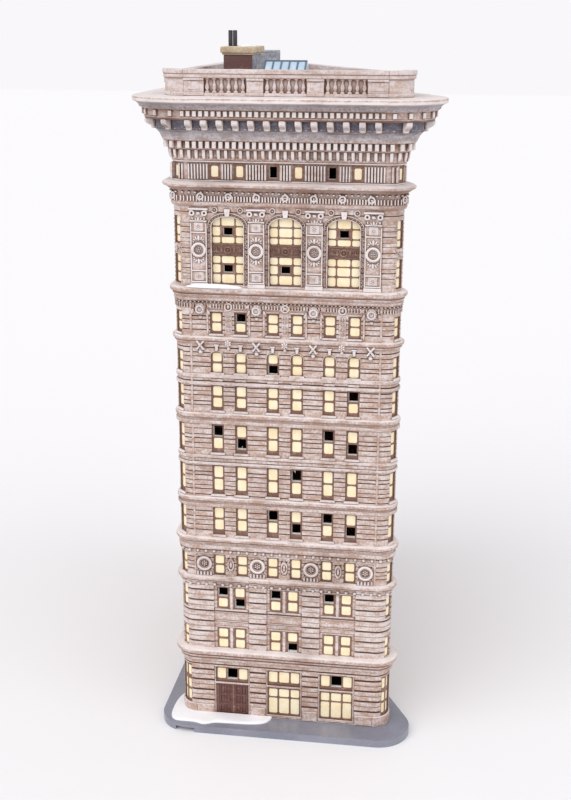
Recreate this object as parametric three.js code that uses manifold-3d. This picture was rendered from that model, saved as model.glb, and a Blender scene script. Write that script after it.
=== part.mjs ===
// Miniature landmark model: a hollow slip-cast porcelain tower on a wedge-shaped plan, painted by hand,
// standing on a glazed plinth and lit from inside by a small lamp that clips into its underside.
//
// Millimetres, +Z up. The origin is on the ground under the middle of the object's outline.
// +X is to the right of the broad flat front, and +Y runs from that front back to the narrow prow.
// Plan positions below are measured from the front wall face, and the group is centred at the end.

import * as THREE from "three";
import { mergeVertices } from "three/addons/utils/BufferGeometryUtils.js";
import Module from "manifold-3d";

const wasm = await Module();
wasm.setup();

// ---------------------------------------------------------------- driving dimensions
const BAY = 28; // spacing of the front's window bays
const FRONT_HALF = 47.5; // half the flat part of the front
const CORNER_R = 8.2; // wall face radius at both front corners
const PROW_R = 12; // wall face radius at the prow
const WEDGE = THREE.MathUtils.degToRad(27); // lean of the right flank towards the left one
const WALL = 3; // thickness of the cast wall
const ARC_STEPS = [5, 6, 9]; // facets of the left, right and prow corners

const PLINTH = { top: 4.2, left: 10.6, front: 13.2, right: 9, radii: [16, 17, 22], rim: 4, plate: 1.6 };
const NOTCH = { x: -51.5, width: 10.4, height: 2.6 }; // cord notch in the plinth's front rim
const LAMP = { x: -16, y: 62, hole: 17 }; // lamp hole in the plinth's floor

// Levels of the tower, from the ground up.
const LEVEL = {
  wallFoot: PLINTH.top, firstLedge: 36.8, secondStorey: 44.3, paleLedge: 83, medallions: 86.4,
  thirdLedge: 101.8, lowerShaft: 108.6, fourthLedge: 125.3, middleShaft: 130.8, fifthLedge: 170,
  upperShaft: 175.9, stringCourse: 211.9, festoons: 215.4, archLedge: 233.2, arches: 240.2,
  atticLedge: 279.3, attic: 291, cornice: 300.7, roof: 330.5, coping: 342.4,
};
const SIDE_COPING_DROP = 1.6; // the flank parapets stand a little lower than the front one
const PARAPET = { outer: 3, inner: -2, coping: 1, copingHeight: 4, joint: 0.15 };
const DECK = { edge: -2.3, thickness: 1.2 };

// Windows: [pane centre heights], spacing of the pair in a bay, pane width and height.
const PANE = { width: 4.6, height: 4.6 };
const PAIR = 12; // spacing of paired windows on the shaft
const NARROW_PAIR = 9; // and on the two storeys above the ground storey
const STOREY_PANES = {
  second: { up: 53.1, low: 47.1, pair: NARROW_PAIR },
  third: { up: 76.9, low: 70.8, pair: NARROW_PAIR },
  lowerShaft: { up: 121.6, low: 115.1, pair: PAIR },
  sixth: { up: 144.1, low: 137.3, pair: PAIR },
  seventh: { up: 166, low: 159.6, pair: PAIR },
  eighth: { up: 187.1, low: 181.2, pair: PAIR },
  ninth: { up: 204.6, low: 199.2, pair: PAIR },
  tenth: { up: 224.8, low: 220, pair: PAIR },
  attic: { up: 295.7, low: 295.7, pair: PAIR },
};

// ---------------------------------------------------------------- plan
const flank = { x: Math.cos(WEDGE), y: Math.sin(WEDGE) }; // outward normal of the right flank
const LEFT_FACE = FRONT_HALF + CORNER_R;
const FLANK_REACH = flank.x * FRONT_HALF + flank.y * CORNER_R + CORNER_R;

// The three rounded corners of a wedge whose faces stand left, front and right outside the wall faces.
function corners(left, front, right, [leftR, rightR, prowR]) {
  const x = -LEFT_FACE - left;
  const rightY = rightR - front;
  const prowX = x + prowR;
  return [
    { x: x + leftR, y: leftR - front, r: leftR, from: Math.PI, to: 1.5 * Math.PI },
    {
      x: (FLANK_REACH + right - rightR - flank.y * rightY) / flank.x,
      y: rightY, r: rightR, from: -0.5 * Math.PI, to: WEDGE,
    },
    {
      x: prowX,
      y: (FLANK_REACH + right - prowR - flank.x * prowX) / flank.y,
      r: prowR, from: WEDGE, to: Math.PI,
    },
  ];
}

const wallCorners = (out) => corners(out, out, out, [CORNER_R + out, CORNER_R + out, PROW_R + out]);
const [CORNER_LEFT, CORNER_RIGHT, PROW] = wallCorners(0);
const DEPTH = PROW.y + PROW_R;

function outline(out) {
  return wallCorners(out).flatMap((c, k) =>
    Array.from({ length: ARC_STEPS[k] + 1 }, (_, i) => {
      const a = c.from + ((c.to - c.from) * i) / ARC_STEPS[k];
      return new THREE.Vector2(c.x + c.r * Math.cos(a), c.y + c.r * Math.sin(a));
    }),
  );
}

function shapeOf(cornerList) {
  const shape = new THREE.Shape();
  for (const c of cornerList) shape.absarc(c.x, c.y, c.r, c.from, c.to, false);
  shape.closePath();
  return shape;
}

// The straight faces of the tower, each with its start, direction and length, walked round the plan.
const FACES = {
  front: { x: -FRONT_HALF, y: 0, turn: 0, length: 2 * FRONT_HALF, bays: 3, pitch: BAY },
  right: face(CORNER_RIGHT, PROW, WEDGE + Math.PI / 2, 7),
  left: face(PROW, CORNER_LEFT, 1.5 * Math.PI, 6),
};

function face(a, b, turn, bays) {
  const out = turn - Math.PI / 2;
  const start = new THREE.Vector2(a.x + a.r * Math.cos(out), a.y + a.r * Math.sin(out));
  const end = new THREE.Vector2(b.x + b.r * Math.cos(out), b.y + b.r * Math.sin(out));
  const length = start.distanceTo(end);
  return { x: start.x, y: start.y, turn, length, bays, pitch: length / bays };
}

// ---------------------------------------------------------------- geometry helpers
function solid(geometry) {
  const bare = geometry.clone();
  bare.deleteAttribute("normal");
  bare.deleteAttribute("uv");
  const merged = mergeVertices(bare, 1e-4);
  return new wasm.Manifold(new wasm.Mesh({
    numProp: 3,
    vertProperties: merged.attributes.position.array,
    triVerts: new Uint32Array(merged.index.array),
  }));
}

function geometryOf(body) {
  const mesh = body.getMesh();
  const geometry = new THREE.BufferGeometry();
  geometry.setAttribute("position", new THREE.BufferAttribute(mesh.vertProperties, 3));
  geometry.setIndex(new THREE.BufferAttribute(mesh.triVerts, 1));
  geometry.computeVertexNormals();
  return geometry;
}

const cut = (geometry, tools) =>
  geometryOf(tools.reduce((body, tool) => body.subtract(solid(tool)), solid(geometry)));
const join = (geometries) =>
  geometryOf(geometries.slice(1).reduce((body, g) => body.add(solid(g)), solid(geometries[0])));

// A ring swept round the plan. The profile lists [out, z] down the outside and up the inside.
function ring(profile) {
  const loops = profile.map(([out]) => outline(out));
  const around = loops[0].length;
  const geometry = new THREE.PlaneGeometry(1, 1, around, profile.length);
  const position = geometry.attributes.position;
  for (let i = 0; i < position.count; i++) {
    const row = Math.floor(i / (around + 1)) % profile.length;
    const point = loops[row][(i % (around + 1)) % around];
    position.setXYZ(i, point.x, point.y, profile[row][1]);
  }
  return geometry;
}

// A storey's wall, or a moulded course whose outer profile is given from the top down.
const course = (bottom, outer) => {
  const top = outer[0][1];
  return ring([...outer.map(([out, z]) => [out, bottom + z]), [-WALL, bottom], [-WALL, bottom + top]]);
};
const wall = (bottom, top, out = 0) => course(bottom, [[out, top - bottom], [out, 0]]);

function slab(shape, bottom, height, curveSegments = 12) {
  const geometry = new THREE.ExtrudeGeometry(shape, { depth: height, bevelEnabled: false, curveSegments });
  return geometry.translate(0, 0, bottom);
}

function box(x0, x1, y0, y1, z0, z1) {
  return new THREE.BoxGeometry(x1 - x0, y1 - y0, z1 - z0)
    .translate((x0 + x1) / 2, (y0 + y1) / 2, (z0 + z1) / 2);
}

const polygon = (points) => new THREE.Shape(points.map(([x, y]) => new THREE.Vector2(x, y)));

// A block on a face: along it, outside it (negative goes into the wall) and up.
function onFace(name, along, out, z, width, depth, height) {
  const f = FACES[name];
  return new THREE.BoxGeometry(width, depth, height)
    .translate(along, -out, z)
    .rotateZ(f.turn)
    .translate(f.x, f.y, 0);
}

function turned(profile, segments = 32) {
  const lathe = new THREE.LatheGeometry(profile.map(([r, z]) => new THREE.Vector2(r, z)), segments);
  return lathe.rotateX(Math.PI / 2);
}

// ---------------------------------------------------------------- materials and scene graph
const finish = {
  stone: { color: 0xb3a79d, roughness: 0.8, metalness: 0 },
  trim: { color: 0xa9a29e, roughness: 0.8, metalness: 0 },
  parapet: { color: 0xc0b4a8, roughness: 0.8, metalness: 0 },
  plinth: { color: 0x868998, roughness: 0.4, metalness: 0 },
  maroon: { color: 0x45262a, roughness: 0.5, metalness: 0 },
  snow: { color: 0xf4f4f6, roughness: 0.5, metalness: 0 },
  roof: { color: 0x8a8d94, roughness: 0.7, metalness: 0 },
  flue: { color: 0x35353b, roughness: 0.5, metalness: 0 },
  paleGlass: { color: 0xb7d5e4, roughness: 0.35, metalness: 0 },
  whitePlastic: { color: 0xeeeeea, roughness: 0.45, metalness: 0 },
  steel: { color: 0xb8bbc0, roughness: 0.3, metalness: 1 },
  brass: { color: 0xc7a35a, roughness: 0.35, metalness: 1 },
  bulbGlass: { color: 0xf3f5f6, roughness: 0.05, metalness: 0 },
};

const group = new THREE.Group();
const lamp = new THREE.Group();
lamp.position.set(LAMP.x, LAMP.y, 0);
group.add(lamp);

function add(name, geometry, look, parent = group) {
  const mesh = new THREE.Mesh(geometry, new THREE.MeshStandardMaterial(look));
  mesh.name = name;
  parent.add(mesh);
}

// ---------------------------------------------------------------- plinth
function plinth() {
  const { top, left, front, right, radii, rim, plate } = PLINTH;
  const outer = slab(shapeOf(corners(left, front, right, radii)), 0, top);
  const inner = corners(left - rim, front - rim, right - rim, radii.map((r) => r - rim));
  const recess = slab(shapeOf(inner), -1, top - plate + 1);
  const hole = new THREE.CylinderGeometry(LAMP.hole, LAMP.hole, 3 * top, 40)
    .rotateX(Math.PI / 2)
    .translate(LAMP.x, LAMP.y, 0);
  const notch = box(
    NOTCH.x - NOTCH.width / 2, NOTCH.x + NOTCH.width / 2, -front - 1, rim - front + 6, -1, NOTCH.height,
  );
  return cut(outer, [recess, hole, notch]);
}

// ---------------------------------------------------------------- pierced panes
// A pane is pierced right through the wall where the model lets its lamp shine out.
const FRONT_PIERCED = {
  second: [[3, "low"]],
  third: [[0, "up"], [1, "low"], [2, "up"], [4, "up"]],
  lowerShaft: [[2, "up"], [3, "low"], [4, "up"], [5, "low"]],
  sixth: [[3, "up"]],
  seventh: [[0, "up"], [1, "low"], [4, "up"], [5, "low"]],
  eighth: [[5, "up"]],
  ninth: [[2, "low"]],
  tenth: [[1, "up"]],
  attic: [[2, "up"], [4, "up"]],
};
const FLANK_RHYTHM = 5; // one window in five is pierced along the flanks

function panes(...storeys) {
  return storeys.flatMap((name, level) => {
    const { up, low, pair } = STOREY_PANES[name];
    const heights = { up, low };
    const at = (side, column, which) => {
      const f = FACES[side];
      const middle = f.length / 2 + (Math.floor(column / 2) - (f.bays - 1) / 2) * f.pitch;
      const along = middle + (column % 2 ? pair : -pair) / 2;
      return onFace(side, along, 0, heights[which], PANE.width, 4 * WALL, PANE.height);
    };
    const flanks = ["right", "left"].flatMap((side) =>
      Array.from({ length: 2 * FACES[side].bays }, (_, column) => column)
        .filter((column) => (column + 2 * level + Math.round(up)) % FLANK_RHYTHM === 0)
        .map((column) => at(side, column, column % 2 ? "low" : "up")),
    );
    return [...FRONT_PIERCED[name].map(([column, which]) => at("front", column, which)), ...flanks];
  });
}

// ---------------------------------------------------------------- ground storey and its doors
const DOOR = { left: -35.5, right: -19.6, top: 23.2, post: 1.2, leaf: 1.6, inset: 0.8, gap: 0.3 };
const TRANSOM = { z: 28.9, width: 5.6, height: 6.2 };

function groundStorey() {
  const transom = (x) => onFace(
    "front", FRONT_HALF + x, 0, TRANSOM.z, TRANSOM.width, 4 * WALL, TRANSOM.height,
  );
  const doorway = box(DOOR.left, DOOR.right, -1, WALL + 1, LEVEL.wallFoot - 1, DOOR.top);
  const post = (DOOR.left + DOOR.right) / 2;
  return join([
    cut(wall(LEVEL.wallFoot, LEVEL.firstLedge), [doorway, transom(post), transom(BAY)]),
    box(post - DOOR.post / 2, post + DOOR.post / 2, DOOR.inset, WALL, LEVEL.wallFoot, DOOR.top + 0.5),
  ]);
}

function door(side) {
  const middle = (DOOR.left + DOOR.right) / 2;
  const near = middle + side * (DOOR.post / 2 + DOOR.gap);
  const far = (side < 0 ? DOOR.left : DOOR.right) - side * DOOR.gap;
  return box(
    Math.min(near, far), Math.max(near, far), DOOR.inset, DOOR.inset + DOOR.leaf,
    LEVEL.wallFoot, DOOR.top - DOOR.gap,
  );
}

// ---------------------------------------------------------------- arch storey
const ARCH_PANES = { up: 267.2, low: 249.1, width: 4.4, height: 3.6 };
const ARCH_PIERCED = [[-1, "up"], [-1, "low"], [0, "low"], [1, "up"]];

function archStorey() {
  const tools = ARCH_PIERCED.map(([bay, which]) =>
    onFace("front", FRONT_HALF + bay * BAY, 0, ARCH_PANES[which], ARCH_PANES.width, 4 * WALL, ARCH_PANES.height),
  );
  for (const side of ["right", "left"]) {
    const f = FACES[side];
    for (let bay = 1; bay < f.bays; bay += 2) {
      tools.push(onFace(
        side, (bay + 0.5) * f.pitch, 0, ARCH_PANES.up, ARCH_PANES.width, 4 * WALL, ARCH_PANES.height,
      ));
    }
  }
  return cut(wall(LEVEL.arches, LEVEL.atticLedge), tools);
}

// ---------------------------------------------------------------- moulded courses
// Outer profiles as [out, height above the course's own foot], from the top down, each stretched between its levels.
function moulding(foot, profile, top) {
  const stretch = (LEVEL[top] - LEVEL[foot]) / profile[0][1];
  return course(LEVEL[foot], profile.map(([out, z]) => [out, z * stretch]));
}
const firstLedge = [[2.4, 7.6], [3.5, 6.6], [3.7, 4.8], [3.2, 2.8], [2.2, 1.4], [1, 0]];
const paleLedge = [[1.2, 4.1], [2.2, 3.3], [2.2, 1.2], [1.2, 0]];
const thirdLedge = [[1.2, 6.2], [2.6, 5.2], [2.6, 3.4], [1.2, 2.6], [1.2, 0]];
const doubleLedge = [[0.8, 5.5], [1.4, 5], [1.4, 3.4], [0.7, 2.9], [1.2, 2.4], [1.2, 0.6], [0.6, 0]];
const stringCourse = [[1, 4.3], [2.1, 3.6], [2.1, 2.4], [1, 1.4], [0.8, 0]];
const archLedge = [[1.4, 8.2], [2.8, 7.2], [2.8, 5.2], [1.6, 3.8], [1, 2], [0.6, 0]];
const atticLedge = [[3.6, 11.7], [5.4, 10.8], [5.4, 9.4], [3, 7.8], [1.4, 7.4], [1.4, 1.8], [0.8, 0]];
const cornice = [
  [18.3, 28.8], [18.7, 28.2], [18.3, 26.5], [17, 25.6], [15, 23.2], [14.4, 22.8], [14, 20.1], [13.2, 18.7],
  [11.5, 16.4], [8.2, 13.4], [6.4, 11.2], [5.4, 9.2], [4.9, 8.6], [3.2, 4.4], [2.2, 2.4], [0.6, 0],
];

// ---------------------------------------------------------------- parapets and roof
const COPING_STEP = LEVEL.coping - PARAPET.copingHeight;

// A straight run of blind balustrade: a wall with a recess in each bay under an overhanging coping.
function balustrade(name, drop) {
  const f = FACES[name];
  const { outer, inner, coping, joint } = PARAPET;
  const top = LEVEL.coping - drop;
  const step = COPING_STEP - drop;
  const run = f.length - 2 * joint;
  const thick = outer - inner;
  const recess = { width: 0.72 * f.pitch, depth: 1.4, foot: 1.2 };
  const middle = f.length / 2;
  const body = onFace(
    name, middle, (outer + inner) / 2, (LEVEL.roof + step) / 2, run, thick, step - LEVEL.roof,
  );
  const cap = onFace(
    name, middle, (outer + coping + inner) / 2, (step + top) / 2, run, thick + coping, top - step,
  );
  const recesses = Array.from({ length: f.bays }, (_, bay) => onFace(
    name, middle + (bay - (f.bays - 1) / 2) * f.pitch, outer,
    (LEVEL.roof + recess.foot + step) / 2, recess.width, 2 * recess.depth, step - LEVEL.roof - recess.foot,
  ));
  return join([cut(body, recesses), cap]);
}

// The curved block that turns a corner of the parapet.
function cornerBlock(corner, drop) {
  const { outer, inner, coping } = PARAPET;
  const sector = (out, bottom, top) => {
    const shape = new THREE.Shape();
    shape.absarc(corner.x, corner.y, corner.r + out, corner.from, corner.to, false);
    shape.absarc(corner.x, corner.y, corner.r + inner, corner.to, corner.from, true);
    shape.closePath();
    return slab(shape, bottom, top - bottom, 10);
  };
  const step = COPING_STEP - drop;
  return join([sector(outer, LEVEL.roof, step), sector(outer + coping, step, LEVEL.coping - drop)]);
}

const DECK_TOP = LEVEL.roof + DECK.thickness;
const BULKHEAD = { x0: -41.1, x1: -26.1, y0: 62, y1: 90, top: 347.1 };
const CAP = { over: 1.5, mould: 1, top: 351.2 };
const REAR = { x0: -38, x1: -21.7, y0: 112, y1: 128, top: 348.3 };
const SKYLIGHT = { x0: -21, x1: 1.2, y0: 57, y1: 81, curb: 336.5, ridge: 344.6, light: 1 };
const FLUE = { x: -38.4, y: 74, r: 1.15, top: 359.1, spacing: 2.4 };

function gable({ x0, x1, y0, y1 }, lift, inset) {
  const middle = (y0 + y1) / 2;
  const shape = polygon([[y0 + inset, SKYLIGHT.curb], [y1 - inset, SKYLIGHT.curb], [middle, SKYLIGHT.ridge + lift]]);
  return new THREE.ExtrudeGeometry(shape, { depth: x1 - x0, bevelEnabled: false })
    .applyMatrix4(new THREE.Matrix4().set(0, 0, 1, x0, 1, 0, 0, 0, 0, 1, 0, 0, 0, 0, 0, 1));
}

function bulkheadCap() {
  const { x0, x1, y0, y1, top } = BULKHEAD;
  const over = (grow) => [x0 - grow, x1 + grow, y0 - grow, y1 + grow];
  return join([box(...over(0.7), top, top + CAP.mould + 0.01), box(...over(CAP.over), top + CAP.mould, CAP.top)]);
}

// ---------------------------------------------------------------- snow
// The drift on the plinth's left front: outline points run along the wall and back round the open edge.
const DRIFT = { bottom: PLINTH.top, height: 1.3, wallGap: 0.3 };
function drift() {
  const edge = new THREE.Shape();
  edge.moveTo(-LEFT_FACE - DRIFT.wallGap, 18);
  edge.bezierCurveTo(-62, 20, -65.5, 10, -65, 0);
  edge.bezierCurveTo(-64.6, -6, -62, -9.4, -57, -9.6);
  edge.bezierCurveTo(-50, -9.8, -47, -9.4, -43.5, -11);
  edge.bezierCurveTo(-40, -12.2, -39, -9.6, -35, -8.8);
  edge.bezierCurveTo(-26, -8.2, -20, -8.6, -14, -7.4);
  edge.bezierCurveTo(-9, -6.4, -7, -4, -6.5, -DRIFT.wallGap);
  edge.lineTo(-FRONT_HALF, -DRIFT.wallGap);
  edge.absarc(CORNER_LEFT.x, CORNER_LEFT.y, CORNER_R + DRIFT.wallGap, 1.5 * Math.PI, Math.PI, true);
  edge.closePath();
  return slab(edge, DRIFT.bottom, DRIFT.height, 6);
}

// A low rounded heap of snow, resting on the level z.
function patch(x, y, z, length, width, height) {
  return new THREE.SphereGeometry(1, 16, 6)
    .rotateX(Math.PI / 2)
    .scale(length / 2, width / 2, height / 2)
    .translate(x, y, z + height / 2);
}

// ---------------------------------------------------------------- lamp, about its own axis
const FLANGE = { r: 19, bottom: 0.7, top: 2.3 };
const SOCKET = { r: 9.6, bore: 7.3, top: 31 };
const CLIP = { foot: 10.6, bow: 16.1, tip: 12.4, thickness: 0.5, width: 6, bottom: 2.5, bend: 7, top: 19 };
const BULB = { capR: 5.9, shellR: 6.4, shellTop: 30.4, glassR: 10.8, top: 74, wall: 0.6 };

const flange = () => turned([[0, FLANGE.bottom], [FLANGE.r, FLANGE.bottom], [FLANGE.r, FLANGE.top], [0, FLANGE.top]], 48);

function socket() {
  const foot = FLANGE.top + 0.05;
  return turned([
    [0, foot], [SOCKET.r, foot], [SOCKET.r, SOCKET.top - 1], [SOCKET.r - 0.8, SOCKET.top],
    [SOCKET.bore, SOCKET.top], [SOCKET.bore, 6], [0, 6],
  ]);
}

const screwShell = () => turned([
  [BULB.shellR, 8.6], [BULB.shellR + 0.5, 8.6], [BULB.shellR + 0.5, BULB.shellTop], [BULB.shellR, BULB.shellTop],
  [BULB.shellR, 8.6],
]);

const contact = () => turned([[0, 6.1], [2.6, 6.1], [2.6, 7], [1.2, 8.2], [0, 8.2]], 20);

function clip(side) {
  const { foot, bow, tip, thickness, width, bottom, bend, top } = CLIP;
  const strip = polygon([
    [foot, bottom], [foot + thickness, bottom], [bow + thickness / 2, bend], [bow + thickness / 2, bend + 1.5],
    [tip + thickness, top], [tip, top], [bow - thickness / 2, bend + 1.4], [bow - thickness / 2, bend + 0.3],
  ]);
  const geometry = new THREE.ExtrudeGeometry(strip, { depth: width, bevelEnabled: false })
    .translate(0, 0, -width / 2)
    .rotateX(Math.PI / 2);
  return side > 0 ? geometry : geometry.rotateZ(Math.PI);
}

function bulbCap() {
  const threads = Array.from({ length: 6 }, (_, i) => {
    const z = 11.4 + 2.4 * i;
    return [[BULB.capR - 0.5, z], [BULB.capR, z + 0.6], [BULB.capR, z + 1.2], [BULB.capR - 0.5, z + 1.8]];
  }).flat();
  return turned([[0, 8.6], [2.2, 8.6], [BULB.capR - 0.7, 10.6], ...threads, [BULB.capR - 0.5, 27], [0, 27]], 20);
}

// The glass is open at its neck, where the cap holds it.
function bulbGlass() {
  const neck = 27.3;
  const outer = [[5.2, neck], [5.6, 31], [8.6, 38], [10.4, 44], [10.8, 50], [9.8, 58], [6.6, 67], [2.6, 73]];
  const inner = outer.map(([r, z]) => [Math.max(r - BULB.wall, 0.6), z === neck ? z : z - BULB.wall * 0.6]);
  const profile = [...outer, [0, BULB.top], [0, BULB.top - BULB.wall], ...inner.reverse(), outer[0]];
  return turned(profile, 24);
}

function bulbStem() {
  const stem = turned([[0, 27.4], [3, 27.4], [2.4, 33], [1.5, 38], [1.5, 44], [0, 44]], 16);
  const arch = new THREE.CatmullRomCurve3([
    [-1, 0, 43], [-5, 0, 52], [-3, 0, 55], [0, 0, 56], [3, 0, 55], [5, 0, 52], [1, 0, 43],
  ].map((p) => new THREE.Vector3(...p)));
  const wire = new THREE.Shape().absarc(0, 0, 0.3, 0, 2 * Math.PI, false);
  return join([stem, new THREE.ExtrudeGeometry(wire, { steps: 20, extrudePath: arch, curveSegments: 3 })]);
}

// ---------------------------------------------------------------- the assembly
const { stone, trim } = finish;
add("plinth", plinth(), finish.plinth);
add("ground_storey_wall", groundStorey(), stone);
add("street_door_left", door(-1), finish.maroon);
add("street_door_right", door(1), finish.maroon);
add("first_ledge", moulding("firstLedge", firstLedge, "secondStorey"), trim);
add("lower_storeys_wall", cut(wall(LEVEL.secondStorey, LEVEL.paleLedge, -0.1), panes("second", "third")), stone);
add("pale_ledge", moulding("paleLedge", paleLedge, "medallions"), trim);
add("medallion_storey_wall", wall(LEVEL.medallions, LEVEL.thirdLedge), stone);
add("third_ledge", moulding("thirdLedge", thirdLedge, "lowerShaft"), trim);
add("lower_shaft_wall", cut(wall(LEVEL.lowerShaft, LEVEL.fourthLedge), panes("lowerShaft")), stone);
add("fourth_ledge", moulding("fourthLedge", doubleLedge, "middleShaft"), trim);
add("middle_shaft_wall", cut(wall(LEVEL.middleShaft, LEVEL.fifthLedge), panes("sixth", "seventh")), stone);
add("fifth_ledge", moulding("fifthLedge", doubleLedge, "upperShaft"), trim);
add("upper_shaft_wall", cut(wall(LEVEL.upperShaft, LEVEL.stringCourse), panes("eighth", "ninth")), stone);
add("string_course", moulding("stringCourse", stringCourse, "festoons"), trim);
add("festoon_storey_wall", cut(wall(LEVEL.festoons, LEVEL.archLedge), panes("tenth")), stone);
add("arch_ledge", moulding("archLedge", archLedge, "arches"), trim);
add("arch_storey_wall", archStorey(), stone);
add("attic_ledge", moulding("atticLedge", atticLedge, "attic"), trim);
add("attic_wall", cut(wall(LEVEL.attic, LEVEL.cornice, -0.4), panes("attic")), stone);
add("main_cornice", moulding("cornice", cornice, "roof"), trim);
add("roof_deck", slab(shapeOf(wallCorners(DECK.edge)), LEVEL.roof, DECK.thickness), finish.roof);
add("front_parapet", balustrade("front", 0), finish.parapet);
add("right_parapet", balustrade("right", SIDE_COPING_DROP), finish.parapet);
add("left_parapet", balustrade("left", SIDE_COPING_DROP), finish.parapet);
add("left_corner_block", cornerBlock(CORNER_LEFT, 0), finish.parapet);
add("right_corner_block", cornerBlock(CORNER_RIGHT, 0), finish.parapet);
add("prow_block", cornerBlock(PROW, SIDE_COPING_DROP), finish.parapet);

const { x0, x1, y0, y1, top } = BULKHEAD;
add("stair_bulkhead", box(x0, x1, y0, y1, DECK_TOP, top), finish.maroon);
add("bulkhead_cap", bulkheadCap(), finish.parapet);
for (const [side, name] of [[-0.5, "flue_left"], [0.5, "flue_right"]]) {
  const flue = new THREE.CylinderGeometry(FLUE.r, FLUE.r, FLUE.top - CAP.top, 16)
    .rotateX(Math.PI / 2)
    .translate(FLUE.x + side * FLUE.spacing, FLUE.y, (FLUE.top + CAP.top) / 2);
  add(name, flue, finish.flue);
}
add("rear_bulkhead", box(REAR.x0, REAR.x1, REAR.y0, REAR.y1, DECK_TOP, REAR.top), finish.roof);
add("skylight_curb", box(SKYLIGHT.x0, SKYLIGHT.x1, SKYLIGHT.y0, SKYLIGHT.y1, DECK_TOP, SKYLIGHT.curb), finish.roof);
add("skylight_lights", gable(SKYLIGHT, 0, 0.3), finish.paleGlass);

add("ground_snow_drift", drift(), finish.snow);
add("ledge_snow", patch(-34.5, -2, LEVEL.arches, 30, 3.4, 2), finish.snow);
add("cap_snow", patch(-30.5, 74, CAP.top, 9.5, 26, 1.2), finish.snow);

add("lamp_flange", flange(), finish.whitePlastic, lamp);
add("lamp_socket", socket(), finish.whitePlastic, lamp);
add("socket_screw_shell", screwShell(), finish.brass, lamp);
add("centre_contact", contact(), finish.brass, lamp);
add("spring_clip_right", clip(1), finish.steel, lamp);
add("spring_clip_left", clip(-1), finish.steel, lamp);
add("bulb_cap", bulbCap(), finish.brass, lamp);
add("bulb_glass", bulbGlass(), finish.bulbGlass, lamp);
add("bulb_stem", bulbStem(), finish.steel, lamp);

group.position.y = -DEPTH / 2;

export default group;
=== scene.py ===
"""Looks of a miniature tower: a hand-painted porcelain casting on a wedge-shaped plan, lit from inside.

Sizes are millimetres of the tower's own plan, in which the broad front wall stands at y = 0, its middle
at x = 0 and the ground at z = 0. A piece is turned into metres of the shared frame when it is finished.
Relief is made flat, in a face's own frame (X along it, Z up, -Y out of it), and is then laid round the
plan: straight on the faces, bent round the corners.
"""

import logging
import math
from collections.abc import Callable, Iterable, Sequence
from dataclasses import dataclass, field

import bmesh
import bpy
import numpy as np
from bmesh import ops
from bmesh.types import BMEdge, BMesh, BMVert
from mathutils import Matrix, Vector, noise


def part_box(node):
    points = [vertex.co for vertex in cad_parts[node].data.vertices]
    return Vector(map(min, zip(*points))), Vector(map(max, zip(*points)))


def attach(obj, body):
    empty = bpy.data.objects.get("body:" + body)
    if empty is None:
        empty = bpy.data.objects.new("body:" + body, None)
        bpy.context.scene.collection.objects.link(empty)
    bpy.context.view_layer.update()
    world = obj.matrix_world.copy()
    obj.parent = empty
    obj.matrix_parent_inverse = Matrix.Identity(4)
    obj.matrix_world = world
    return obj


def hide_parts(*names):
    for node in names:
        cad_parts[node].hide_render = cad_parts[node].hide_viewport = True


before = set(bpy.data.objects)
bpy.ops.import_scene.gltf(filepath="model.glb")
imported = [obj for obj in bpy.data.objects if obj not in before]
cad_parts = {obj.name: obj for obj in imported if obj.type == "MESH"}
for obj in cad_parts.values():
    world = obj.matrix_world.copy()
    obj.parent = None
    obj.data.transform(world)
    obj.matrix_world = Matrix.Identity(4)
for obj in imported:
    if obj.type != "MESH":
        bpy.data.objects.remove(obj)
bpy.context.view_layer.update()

LOG = logging.getLogger("tower")
MM = 0.001
WALL = 3.0  # thickness of the cast wall
BAY = 28.0  # spacing of the front's bays
PAIR = 12.0  # spacing of a pair of windows
NARROW_PAIR = 9.0  # and on the two storeys above the ground storey
TURN = 2 * math.pi

Colour = tuple[float, float, float]
Rect = tuple[float, float, float, float]
Rows = list[tuple[float, float]]


def rgb(red: int, green: int, blue: int) -> Colour:
    """A colour from its screen values, as the linear numbers that shaders read."""
    return tuple(
        v / 12.92 if v <= 0.04045 else ((v + 0.055) / 1.055) ** 2.4
        for v in (red / 255, green / 255, blue / 255)
    )


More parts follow.
